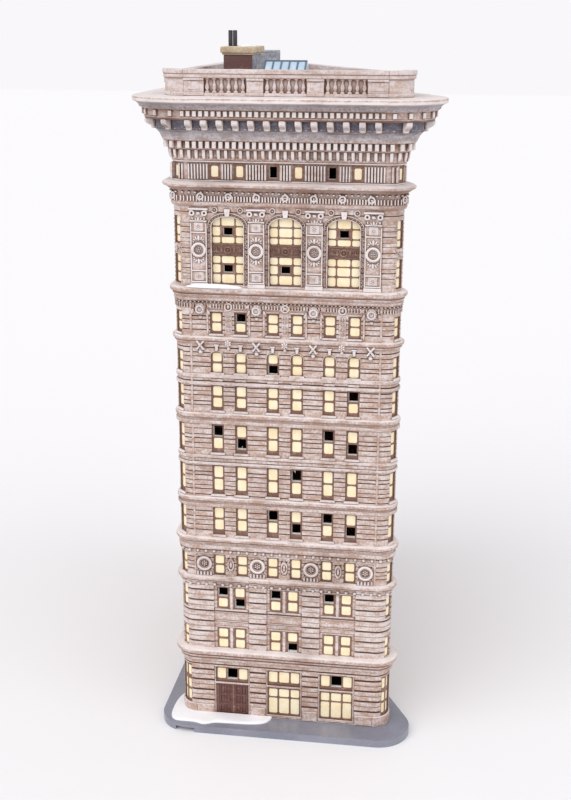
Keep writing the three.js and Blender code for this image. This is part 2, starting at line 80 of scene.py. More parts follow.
# ---------------------------------------------------------------- materials
class Nodes:
    """Writes the nodes of one tree."""

    def __init__(self, tree: bpy.types.NodeTree) -> None:
        """Starts on an empty tree."""
        self.tree = tree
        tree.nodes.clear()

    def add(self, kind: str, inputs: dict | None = None, **settings: object) -> bpy.types.Node:
        """Adds a node.

        Args:
            kind: the node's type, without the ShaderNode in front.
            inputs: a socket to link from, or a value, for each input name or number.
            settings: properties of the node itself.

        Returns:
            The node.
        """
        node = self.tree.nodes.new(kind if kind.startswith("Node") else "ShaderNode" + kind)
        for name, value in settings.items():
            setattr(node, name, value)
        for name, value in (inputs or {}).items():
            if isinstance(value, bpy.types.NodeSocket):
                self.tree.links.new(value, node.inputs[name])
            elif isinstance(value, tuple) and len(value) == 3 and node.inputs[name].type == "RGBA":
                node.inputs[name].default_value = (*value, 1.0)
            else:
                node.inputs[name].default_value = value
        return node

    def noise(self, scale: float, detail: float = 4.0, stretch: tuple = (1.0, 1.0, 1.0)) -> bpy.types.NodeSocket:
        """Object-space noise of that scale per metre, as a value around a half."""
        place = self.add("TexCoord").outputs["Object"]
        place = self.add("Mapping", {"Vector": place, "Scale": stretch}).outputs[0]
        return self.add("TexNoise", {"Vector": place, "Scale": scale, "Detail": detail}).outputs[0]

    def math(self, operation: str, *values: object, clamp: bool = False) -> bpy.types.NodeSocket:
        """A Math node's result."""
        return self.add(
            "Math", dict(enumerate(values)), operation=operation, use_clamp=clamp
        ).outputs[0]

    def ramp(
        self, value: object, low: float, high: float, start: float = 0.0, end: float = 1.0,
    ) -> bpy.types.NodeSocket:
        """A smooth step of value, from start at low to end at high."""
        return self.add(
            "MapRange",
            {"Value": value, "From Min": low, "From Max": high, "To Min": start, "To Max": end},
            interpolation_type="SMOOTHSTEP",
        ).outputs[0]

    def mix(self, share: object, first: object, second: object) -> bpy.types.NodeSocket:
        """Two colours mixed."""
        return self.add("Mix", {0: share, 6: first, 7: second}, data_type="RGBA").outputs[2]


def new_group(name: str, inputs: dict[str, tuple[str, object]], outputs: dict[str, str]) -> tuple:
    """Starts a node group.

    Args:
        name: the group's name.
        inputs: kind and default of each input.
        outputs: kind of each output.

    Returns:
        The tree, its Nodes writer, its input node and its output node.
    """
    tree = bpy.data.node_groups.new(name, "ShaderNodeTree")
    for label, (kind, default) in inputs.items():
        socket = tree.interface.new_socket(label, in_out="INPUT", socket_type="NodeSocket" + kind)
        socket.default_value = (*default, 1.0) if kind == "Color" else default
    for label, kind in outputs.items():
        tree.interface.new_socket(label, in_out="OUTPUT", socket_type="NodeSocket" + kind)
    nodes = Nodes(tree)
    return tree, nodes, nodes.add("NodeGroupInput"), nodes.add("NodeGroupOutput")


def make_wash_drybrush_and_painted_light() -> bpy.types.NodeTree:
    """A dark wash that settles in the recesses, under a pale broken dry brush on what stands proud; the dark also
    paints shade in the hollows and on undersides, and the pale paints a highlight on tops.
    """
    tree, n, given, out = new_group(
        "wash_drybrush_and_painted_light",
        {
            "Wash": ("Color", (0.1, 0.06, 0.05)),
            "Ground": ("Color", (0.4, 0.3, 0.25)),
            "Dry": ("Color", (0.7, 0.66, 0.64)),
            "Open": ("Float", 1.0),
            "Relief": ("Float", 0.0),
            "Cover": ("Float", 0.5),
            "Depth": ("Float", 1.0),
        },
        {"Color": "Color", "Wash And Shade Mask": "Float", "Height": "Float"},
    )
    streak = n.noise(170.0, 6.0, (1.0, 1.0, 2.8))
    fine = n.noise(900.0, 3.0)
    patch = n.noise(34.0, 3.0)
    facing = n.add("SeparateXYZ", {0: n.add("NewGeometry").outputs["Normal"]}).outputs[2]
    proud = n.ramp(given.outputs["Relief"], 0.55, 1.1)
    # Where the surface is closed in, by ambient occlusion, the dark wash settles and painted shade falls as well;
    # relief that stands proud takes less of it.
    shut = n.ramp(given.outputs["Open"], 0.9, 0.3)
    shut = n.math("MULTIPLY", shut, n.math("MULTIPLY_ADD", proud, -0.55, 1.0))
    sunk = n.ramp(given.outputs["Relief"], -0.02, -0.3)
    # Surfaces facing down take up to half the dark colour: painted shade on undersides.
    under = n.ramp(facing, -0.25, -0.95, 0.0, 0.5)
    wash_and_shade = n.math("MAXIMUM", n.math("MAXIMUM", shut, sunk), under)
    uneven = n.math("MULTIPLY_ADD", streak, 1.3, 0.45)
    wash_and_shade = n.math("MULTIPLY", n.math("MULTIPLY", wash_and_shade, uneven), given.outputs["Depth"])
    stain = n.ramp(patch, 0.5, 0.72, 0.0, 0.3)
    wash_and_shade = n.math("ADD", wash_and_shade, stain, clamp=True)
    drybrush_and_top_highlight = n.math("MULTIPLY_ADD", fine, 0.45, n.math("MULTIPLY", streak, 0.55))
    drybrush_and_top_highlight = n.math("ADD", drybrush_and_top_highlight, n.math("MULTIPLY_ADD", given.outputs["Cover"], 0.3, -0.15))
    # Surfaces facing up take more of the pale colour: a painted highlight on tops.
    drybrush_and_top_highlight = n.math("ADD", drybrush_and_top_highlight, n.ramp(facing, 0.15, 0.9, 0.0, 0.16))
    drybrush_and_top_highlight = n.math("ADD", drybrush_and_top_highlight, n.math("MULTIPLY", proud, 0.16))
    drybrush_and_top_highlight = n.ramp(drybrush_and_top_highlight, 0.38, 0.64)
    lit = n.mix(drybrush_and_top_highlight, given.outputs["Ground"], given.outputs["Dry"])
    lit = n.mix(n.math("MULTIPLY", proud, n.ramp(streak, 0.3, 0.6, 0.25, 0.75)), lit, (0.87, 0.81, 0.79))
    colour = n.mix(wash_and_shade, lit, given.outputs["Wash"])
    n.tree.links.new(colour, out.inputs["Color"])
    n.tree.links.new(wash_and_shade, out.inputs["Wash And Shade Mask"])
    n.tree.links.new(n.math("MULTIPLY_ADD", fine, 0.6, streak), out.inputs["Height"])
    return tree


def make_glaze() -> bpy.types.NodeTree:
    """Brushed-on colour that pools and thins a little, with a faint orange-peel surface."""
    tree, n, given, out = new_group(
        "brushed_glaze",
        {
            "Thin": ("Color", (0.5, 0.5, 0.5)),
            "Full": ("Color", (0.4, 0.4, 0.4)),
            "Scale": ("Float", 60.0),
            "Gloss": ("Float", 0.3),
        },
        {"Color": "Color", "Roughness": "Float", "Height": "Float"},
    )
    place = n.add("TexCoord").outputs["Object"]
    cloud = n.add("TexNoise", {"Vector": place, "Scale": given.outputs["Scale"], "Detail": 4.0}).outputs[0]
    speck = n.noise(900.0, 2.0)
    share = n.ramp(n.math("MULTIPLY_ADD", speck, 0.25, n.math("MULTIPLY", cloud, 0.75)), 0.36, 0.62)
    n.tree.links.new(n.mix(share, given.outputs["Thin"], given.outputs["Full"]), out.inputs["Color"])
    n.tree.links.new(
        n.math("ADD", given.outputs["Gloss"], n.ramp(cloud, 0.35, 0.7, -0.05, 0.1), clamp=True),
        out.inputs["Roughness"],
    )
    n.tree.links.new(n.math("MULTIPLY_ADD", speck, 0.3, cloud), out.inputs["Height"])
    return tree


GROUPS: dict[str, bpy.types.NodeTree] = {}


def group(name: str, maker: Callable[[], bpy.types.NodeTree]) -> bpy.types.NodeTree:
    """A shared node group, made the first time it is asked for."""
    if name not in GROUPS:
        GROUPS[name] = maker()
    return GROUPS[name]


@dataclass(frozen=True)
class Washed:
    """Bisque painted a ground colour, with a dark wash and a pale dry brush, and with painted shade in its hollows and
    on its undersides and a painted highlight on its tops.
    """

    name: str
    wash: Colour
    ground: Colour
    dry: Colour
    cover: float = 0.5
    depth: float = 1.0
    # How far in mm the occlusion looks that lays the wash and the painted shade.
    reach: float = 1.7
    roughness: float = 0.62

    def material(self) -> bpy.types.Material:
        """Makes the material, once."""
        made = bpy.data.materials.get("painted_" + self.name)
        if made:
            return made
        made = bpy.data.materials.new("painted_" + self.name)
        made.use_nodes = True
        n = Nodes(made.node_tree)
        # Ambient occlusion steers the dark wash into the hollows, which paints shade there as well.
        hollow = n.add("AmbientOcclusion", {"Distance": self.reach * MM}, samples=8, only_local=True)
        relief = n.add("Attribute", attribute_name="relief")
        paint = n.add(
            "Group",
            node_tree=group("wash_drybrush_and_painted_light", make_wash_drybrush_and_painted_light),
        )
        for label, value in (("Wash", self.wash), ("Ground", self.ground), ("Dry", self.dry)):
            paint.inputs[label].default_value = (*value, 1.0)
        paint.inputs["Cover"].default_value = self.cover
        paint.inputs["Depth"].default_value = self.depth
        n.tree.links.new(hollow.outputs["AO"], paint.inputs["Open"])
        n.tree.links.new(relief.outputs["Fac"], paint.inputs["Relief"])
        bump = n.add("Bump", {"Height": paint.outputs["Height"], "Strength": 0.35, "Distance": 0.00012})
        rough = n.ramp(paint.outputs["Wash And Shade Mask"], 0.0, 1.0, self.roughness, self.roughness - 0.12)
        skin = n.add(
            "BsdfPrincipled",
            {"Base Color": paint.outputs["Color"], "Roughness": rough, "Normal": bump.outputs[0]},
        )
        n.add("OutputMaterial", {"Surface": skin.outputs[0]})
        return made


@dataclass(frozen=True)
class Glazed:
    """Brushed or moulded colour with a sheen: glaze, enamel, plastic, metal or snow."""

    name: str
    thin: Colour
    full: Colour
    gloss: float = 0.35
    scale: float = 60.0
    bump: float = 0.2
    metallic: float = 0.0
    coat: float = 0.0
    light_through: float = 0.0

    def material(self) -> bpy.types.Material:
        """Makes the material, once."""
        made = bpy.data.materials.get("painted_" + self.name)
        if made:
            return made
        made = bpy.data.materials.new("painted_" + self.name)
        made.use_nodes = True
        n = Nodes(made.node_tree)
        paint = n.add("Group", node_tree=group("brushed_glaze", make_glaze))
        for label, value in (("Thin", self.thin), ("Full", self.full)):
            paint.inputs[label].default_value = (*value, 1.0)
        paint.inputs["Scale"].default_value = self.scale
        paint.inputs["Gloss"].default_value = self.gloss
        bump = n.add("Bump", {"Height": paint.outputs["Height"], "Strength": self.bump, "Distance": 0.0002})
        skin = n.add(
            "BsdfPrincipled",
            {
                "Base Color": paint.outputs["Color"],
                "Roughness": paint.outputs["Roughness"],
                "Normal": bump.outputs[0],
                "Metallic": self.metallic,
                "Coat Weight": self.coat,
                "Transmission Weight": self.light_through,
            },
        )
        n.add("OutputMaterial", {"Surface": skin.outputs[0]})
        return made


STONE = Washed("stone_body", rgb(112, 78, 63), rgb(184, 152, 134), rgb(222, 210, 207), 0.5, 1.0, 1.6)
TRIM = Washed("stone_trim", rgb(116, 83, 68), rgb(184, 152, 135), rgb(224, 212, 209), 0.45, 0.95, 2.6)
PARAPET = Washed("parapet_stone", rgb(138, 100, 80), rgb(196, 172, 160), rgb(224, 214, 213), 0.6, 0.95, 2.4)
CAP_TAN = Washed("cap_tan", rgb(138, 112, 88), rgb(196, 172, 140), rgb(224, 206, 180), 0.5, 0.9, 2.0)
# The coves' grey and the darker grey of the faces behind and under the modillions are painted shade under the cornice's
# overhang.
COVE_PAINTED_SHADE = Washed("cove_painted_shade", rgb(104, 92, 94), rgb(160, 148, 148), rgb(206, 199, 202), 0.5, 0.9, 2.0)
SOFFIT_PAINTED_SHADE = Washed("soffit_painted_shade", rgb(62, 57, 66), rgb(98, 93, 102), rgb(150, 146, 156), 0.3, 0.8, 2.0)
FRAME_BROWN = Washed("frame_brown", rgb(66, 42, 36), rgb(126, 92, 78), rgb(172, 142, 128), 0.2, 0.8, 0.9, 0.5)
MAROON = Washed("maroon_enamel", rgb(54, 30, 30), rgb(102, 64, 58), rgb(140, 102, 94), 0.2, 0.9, 0.9, 0.45)
CREAM = Glazed("window_cream", rgb(253, 232, 188), rgb(255, 244, 212), 0.3, 220.0)
BISQUE = Glazed("bare_porcelain", rgb(236, 232, 228), rgb(246, 243, 240), 0.55, 200.0)
PLINTH_BLUE = Glazed("plinth_glaze", rgb(146, 147, 160), rgb(128, 130, 144), 0.34, 30.0, 0.15, 0.0, 0.35)
SNOW = Glazed("snow_white", rgb(246, 246, 249), rgb(252, 252, 254), 0.4, 90.0, 0.25)
ROOF_GREY = Washed("roof_grey", rgb(92, 92, 102), rgb(140, 142, 152), rgb(190, 192, 198), 0.5, 0.8, 1.6)
SKY_PANE = Glazed("skylight_pane", rgb(206, 224, 238), rgb(184, 208, 226), 0.25, 120.0)
SKY_BAR = Glazed("skylight_bar", rgb(88, 104, 122), rgb(106, 122, 138), 0.4, 120.0)
FLUE_BLACK = Glazed("flue_black", rgb(56, 54, 60), rgb(40, 38, 44), 0.4, 260.0)
PLASTIC = Glazed("lamp_plastic", rgb(238, 238, 234), rgb(230, 230, 226), 0.42, 40.0, 0.1)
BRASS = Glazed("lamp_brass", rgb(206, 176, 104), rgb(186, 152, 84), 0.3, 80.0, 0.1, 1.0)
STEEL = Glazed("clip_steel", rgb(188, 190, 194), rgb(166, 168, 174), 0.28, 120.0, 0.1, 1.0)
GLASS = Glazed("bulb_clear", rgb(250, 251, 252), rgb(244, 247, 249), 0.05, 20.0, 0.0, 0.0, 0.0, 1.0)


# ---------------------------------------------------------------- the plan
@dataclass(frozen=True)
class Face:
    """A straight face: its start, the direction it runs in, its length and its bays."""

    x: float
    y: float
    turn: float
    length: float
    bays: int
    pitch: float

    @property
    def margin(self) -> float:
        """Plain wall at each end of the face, outside its bays."""
        return (self.length - self.bays * self.pitch) / 2

    def centres(self) -> list[float]:
        """Where along the face each bay's middle is."""
        return [self.margin + self.pitch * (i + 0.5) for i in range(self.bays)]

    def lay(self, co: np.ndarray) -> np.ndarray:
        """Takes points from the face's own frame to the plan."""
        c, s = math.cos(self.turn), math.sin(self.turn)
        x, y = self.x + c * co[:, 0] - s * co[:, 1], self.y + s * co[:, 0] + c * co[:, 1]
        return np.stack([x, y, co[:, 2]], 1)


@dataclass(frozen=True)
class Arc:
    """A rounded corner: its centre, its radius at the wall face, and where it starts and ends."""

    x: float
    y: float
    r: float
    start: float
    end: float

    @property
    def length(self) -> float:
        """Length along the wall face."""
        return self.r * (self.end - self.start)

    def lay(self, co: np.ndarray) -> np.ndarray:
        """Bends points from the corner's own unrolled frame round it."""
        a = self.start + co[:, 0] / self.r
        reach = self.r - co[:, 1]
        return np.stack([self.x + reach * np.cos(a), self.y + reach * np.sin(a), co[:, 2]], 1)

    def set(self, co: np.ndarray, along: float) -> np.ndarray:
        """Sets points down unbent, facing out of the corner at that length along it."""
        a = self.start + along / self.r
        away, side = (math.cos(a), math.sin(a)), (-math.sin(a), math.cos(a))
        reach = self.r - co[:, 1]
        x = self.x + reach * away[0] + co[:, 0] * side[0]
        y = self.y + reach * away[1] + co[:, 0] * side[1]
        return np.stack([x, y, co[:, 2]], 1)


def make_plan() -> tuple[dict[str, Face | Arc], float]:
    """Works out the wedge: a square left flank, a right flank that leans in, and a rounded prow.

    Returns:
        The faces and corners in order round the plan from the front, and the plan's depth.
    """
    front_half, corner_r, prow_r, wedge = 47.5, 8.2, 12.0, math.radians(27)
    reach = math.cos(wedge) * front_half + math.sin(wedge) * corner_r + corner_r
    prow_x = -front_half - corner_r + prow_r
    prow_y = (reach - prow_r - math.cos(wedge) * prow_x) / math.sin(wedge)
    right_corner = Arc(front_half, corner_r, corner_r, -math.pi / 2, wedge)
    prow = Arc(prow_x, prow_y, prow_r, wedge, math.pi)
    left_corner = Arc(-front_half, corner_r, corner_r, math.pi, 1.5 * math.pi)
    out = (math.cos(wedge), math.sin(wedge))
    start = (right_corner.x + corner_r * out[0], right_corner.y + corner_r * out[1])
    end = (prow.x + prow_r * out[0], prow.y + prow_r * out[1])
    right = math.dist(start, end)
    left = prow_y - corner_r
    sections = {
        "front": Face(-front_half, 0.0, 0.0, 2 * front_half, 3, BAY),
        "right_corner": right_corner,
        "right": Face(*start, wedge + math.pi / 2, right, 7, right / 7),
        "prow": prow,
        "left": Face(prow_x - prow_r, prow_y, 1.5 * math.pi, left, 6, left / 6),
        "left_corner": left_corner,
    }
    return sections, prow_y + prow_r


PLAN, DEPTH = make_plan()
FACES = [s for s in PLAN.values() if isinstance(s, Face)]
ARCS = [s for s in PLAN.values() if isinstance(s, Arc)]
FRONT = PLAN["front"]


def stand_out(co: np.ndarray) -> tuple[np.ndarray, np.ndarray]:
    """How far points stand outside the wall face, and which way out is.

    Args:
        co: points in the plan.

    Returns:
        The distances, negative inside, and the outward directions.
    """
    flats = np.stack([(co[:, 0] - f.x) * math.sin(f.turn) - (co[:, 1] - f.y) * math.cos(f.turn) for f in FACES], 1)
    best = flats.argmax(1)
    out = flats[np.arange(len(co)), best]
    away = np.array([(math.sin(f.turn), -math.cos(f.turn), 0.0) for f in FACES])[best]
    for arc in ARCS:
        dx, dy = co[:, 0] - arc.x, co[:, 1] - arc.y
        inside = (np.arctan2(dy, dx) - arc.start) % TURN <= arc.end - arc.start
        far = np.maximum(np.hypot(dx, dy), 1e-6)
        out = np.where(inside, far - arc.r, out)
        away = np.where(inside[:, None], np.stack([dx / far, dy / far, 0 * far], 1), away)
    return out, away


def rhythm(
    pitch: float, out: float, sections: Iterable[Face | Arc] = tuple(PLAN.values()),
) -> list[tuple[Face | Arc, float]]:
    """Even places round the plan, near that pitch when measured that far outside the wall."""
    places = []
    for section in sections:
        stretch = 1 + out / section.r if isinstance(section, Arc) else 1.0
        count = max(1, round(section.length * stretch / pitch))
        places += [(section, section.length * (i + 0.5) / count) for i in range(count)]
    return places


# ---------------------------------------------------------------- relief in a face's own frame
def edges_in_front(verts: Sequence[BMVert], depth: float) -> list[BMEdge]:
    """The edges whose two ends both stand further out than that depth."""
    front = {v: True for v in verts if v.co.y < depth}
    return ordered(e for v in front for e in v.link_edges if e.verts[0] in front and e.verts[1] in front)


def ordered(items: Iterable) -> list:
    """The items without repeats, in the order they come in, which is the same on each run."""
    return list(dict.fromkeys(items))


def points(geom: Iterable) -> list[BMVert]:
    """The vertices among what an operator made."""
    return [g for g in geom if isinstance(g, BMVert)]


def soften(bm: BMesh, edges: Sequence[BMEdge], width: float, segments: int = 1) -> None:
    """Takes the sharpness off edges."""
    ops.bevel(
        bm, geom=edges, offset=width, offset_type="OFFSET", segments=segments,
        profile=0.5, affect="EDGES", material=-1,
    )


class Relief:
    """Raised work made of small closed shells, in a face's own frame."""

    def __init__(self) -> None:
        """Starts empty."""
        self.bm = bmesh.new()

    def plate(
        self, x: float, z: float, w: float, h: float, out: float,
        back: float = 0.5, soft: float = 0.14, turn: float = 0.0, top: float = 1.0,
    ) -> "Relief":
        """A flat block with softened front edges.

        Args:
            x: middle of the block along the face.
            z: middle of the block in height.
            w: width.
            h: height.
            out: how far it stands outside the wall face.
            back: how far it reaches into the wall.
            soft: width of the softened edges.
            turn: angle it is turned by in the face.
            top: width of its top as a share of its foot.

        Returns:
            This relief.
        """
        made = ops.create_cube(self.bm, size=1)["verts"]
        for v in made:
            if v.co.z > 0:
                v.co.x *= top
        place = Matrix.Translation((x, (back - out) / 2, z)) @ Matrix.Rotation(turn, 4, "Y")
        ops.transform(self.bm, verts=made, matrix=place @ Matrix.Diagonal((w, out + back, h, 1)))
        if soft:
            soften(self.bm, edges_in_front(made, (back - out) / 2), soft)
        return self

    def dome(
        self, x: float, z: float, w: float, h: float, out: float,
        base: float = 0.0, detail: int = 2, turn: float = 0.0,
    ) -> "Relief":
        """A rounded boss: a bead, a leaf or a petal by its width, height and turn."""
        place = Matrix.Translation((x, -base, z)) @ Matrix.Rotation(turn, 4, "Y")
        ops.create_icosphere(
            self.bm, subdivisions=detail, radius=1, matrix=place @ Matrix.Diagonal((w / 2, out, h / 2, 1))
        )
        return self

    def hoop(
        self, x: float, z: float, r: float, tube: float, out: float = 0.0,
        steps: int = 18, sides: int = 6, tall: float = 1.0,
    ) -> "Relief":
        """A ring of round section, lying in the face."""
        old = set(self.bm.verts)
        made = ops.create_circle(self.bm, segments=sides, radius=tube)["verts"]
        ops.translate(self.bm, verts=made, vec=(r, 0, 0))
        rim = ordered(e for v in made for e in v.link_edges)
        ops.spin(
            self.bm, geom=made + rim, cent=(0, 0, 0), axis=(0, 1, 0), angle=TURN, steps=steps, use_merge=True
        )
        fresh = [v for v in self.bm.verts if v not in old]
        ops.transform(
            self.bm, verts=fresh, matrix=Matrix.Translation((x, -out, z)) @ Matrix.Diagonal((1, 1, tall, 1))
        )
        return self

    def prism(self, side: Sequence[tuple[float, float]], x: float, w: float, soft: float = 0.0) -> "Relief":
        """A bracket: a side view given as (out, z) points, made w wide."""
        corners = [self.bm.verts.new((x - w / 2, -out, z)) for out, z in side]
        cheek = self.bm.faces.new(corners)
        made = ops.extrude_face_region(self.bm, geom=[cheek], use_keep_orig=True)["geom"]
        fresh = points(made)
        ops.translate(self.bm, verts=fresh, vec=(w, 0, 0))
        if soft:
            front = edges_in_front(corners + fresh, -0.1)
            soften(self.bm, front, soft)
        return self

    def leaves(self, x: float, z: float, w: float, h: float, out: float, up: float = 1.0) -> "Relief":
        """A palmette: a middle leaf with two pairs curling out of its foot."""
        self.dome(x, z, w * 0.26, h, out * 1.1)
        for side in (-1, 1):
            self.dome(x + side * w * 0.2, z - up * h * 0.04, w * 0.2, h * 0.72, out, turn=side * up * 0.5)
            self.dome(x + side * w * 0.33, z - up * h * 0.22, w * 0.2, h * 0.5, out * 0.9, turn=side * up * 1.05)
        return self

    def rosette(self, x: float, z: float, d: float, out: float, petals: int = 6) -> "Relief":
        """A flower: petals round a boss."""
        for i in range(petals):
            a = TURN * i / petals
            self.dome(x + math.sin(a) * d * 0.3, z + math.cos(a) * d * 0.3, d * 0.3, d * 0.42, out * 0.8, turn=a)
        return self.dome(x, z, d * 0.3, d * 0.3, out)

    def band(
        self, half: float, rise: float, spring: float, foot: float, width: float, out: float,
        steps: int = 24, back: float = 0.4, soft: float = 0.15,
    ) -> "Relief":
        """A raised band round an arched opening, with straight legs down to its foot."""
        old = set(self.bm.verts)
        circle = ops.create_circle(self.bm, segments=2 * steps, radius=1)["verts"]
        ops.rotate(self.bm, verts=circle, cent=(0, 0, 0), matrix=Matrix.Rotation(math.pi / 2, 3, "X"))
        low = [v for v in circle if v.co.z < -1e-4]
        ops.delete(self.bm, geom=low, context="VERTS")
        chain = [v for v in self.bm.verts if v not in old]
        ops.transform(
            self.bm, verts=chain, matrix=Matrix.Translation((0, 0, spring)) @ Matrix.Diagonal((half, 1, rise, 1))
        )
        ends = [v for v in chain if abs(v.co.z - spring) < 1e-3]
        legs = ops.extrude_vert_indiv(self.bm, verts=ends)["verts"]
        for v in legs:
            v.co.z = foot
        rim = ordered(e for v in chain + legs for e in v.link_edges)
        made = ops.extrude_edge_only(self.bm, edges=rim)["geom"]
        for v in points(made):
            v.co.x *= (half + width) / half
            if v.co.z > spring:
                v.co.z = spring + (v.co.z - spring) * (rise + width) / rise
        flat = ordered(f for v in self.bm.verts if v not in old for f in v.link_faces)
        ops.translate(self.bm, verts=[v for v in self.bm.verts if v not in old], vec=(0, back, 0))
        made = ops.extrude_face_region(self.bm, geom=flat, use_keep_orig=True)["geom"]
        fresh = points(made)
        ops.translate(self.bm, verts=fresh, vec=(0, -out - back, 0))
        if soft:
            rims = [e for e in edges_in_front(fresh, 0.0) if e.calc_face_angle(0) > 0.8]
            soften(self.bm, rims, soft)
        return self

    def head(
        self, half: float, rise: float, spring: float, top: float, back: float, out: float = 0.0, steps: int = 24,
    ) -> "Relief":
        """The wall over an arched opening: from the arch up to a level top, and back into the wall."""
        old = set(self.bm.verts)
        circle = ops.create_circle(self.bm, segments=2 * steps, radius=1)["verts"]
        ops.rotate(self.bm, verts=circle, cent=(0, 0, 0), matrix=Matrix.Rotation(math.pi / 2, 3, "X"))
        ops.delete(self.bm, geom=[v for v in circle if v.co.z < -1e-4], context="VERTS")
        chain = [v for v in self.bm.verts if v not in old]
        ops.transform(
            self.bm, verts=chain,
            matrix=Matrix.Translation((0, -out, spring)) @ Matrix.Diagonal((half, 1, rise, 1)),
        )
        rim = ordered(e for v in chain for e in v.link_edges)
        made = ops.extrude_edge_only(self.bm, edges=rim)["geom"]
        for v in points(made):
            v.co.z = top
        flat = ordered(f for v in self.bm.verts if v not in old for f in v.link_faces)
        made = ops.extrude_face_region(self.bm, geom=flat, use_keep_orig=True)["geom"]
        fresh = points(made)
        ops.translate(self.bm, verts=fresh, vec=(0, back + out, 0))
        return self

    def lathe(
        self, x: float, foot: float, profile: Sequence[tuple[float, float]], out: float, steps: int = 8,
    ) -> "Relief":
        """A turned post: (radius, height) points spun about an upright line that far outside the wall."""
        old = set(self.bm.verts)
        chain = [self.bm.verts.new((r, 0, z)) for r, z in profile]
        rims = [self.bm.edges.new(pair) for pair in zip(chain, chain[1:], strict=False)]
        ops.spin(
            self.bm, geom=chain + rims, cent=(0, 0, 0), axis=(0, 0, 1), angle=TURN, steps=steps, use_merge=True
        )
        fresh = [v for v in self.bm.verts if v not in old]
        ops.translate(self.bm, verts=fresh, vec=(x, -out, foot))
        return self

    def part(self) -> "Part":
        """The relief as a part to stamp, its shells facing outwards."""
        ops.recalc_face_normals(self.bm, faces=self.bm.faces)
        return Part(self.bm)


class Part:
    """A finished bit of relief that can be laid down many times."""

    def __init__(self, bm: BMesh) -> None:
        """Takes over a bmesh in a face's own frame."""
        self.mesh = bpy.data.meshes.new("part")
        bm.to_mesh(self.mesh)
        bm.free()
        self.co = np.zeros(len(self.mesh.vertices) * 3, np.float32)
        self.mesh.vertices.foreach_get("co", self.co)
        self.co = self.co.reshape(-1, 3).astype(float)


def waver(at: Vector) -> Vector:
    """The unevenness of a hand-made surface, the same on each run."""
    return Vector([noise.noise(at + Vector((shift, 0.0, 0.0))) for shift in (0.0, 31.7, 67.3)])


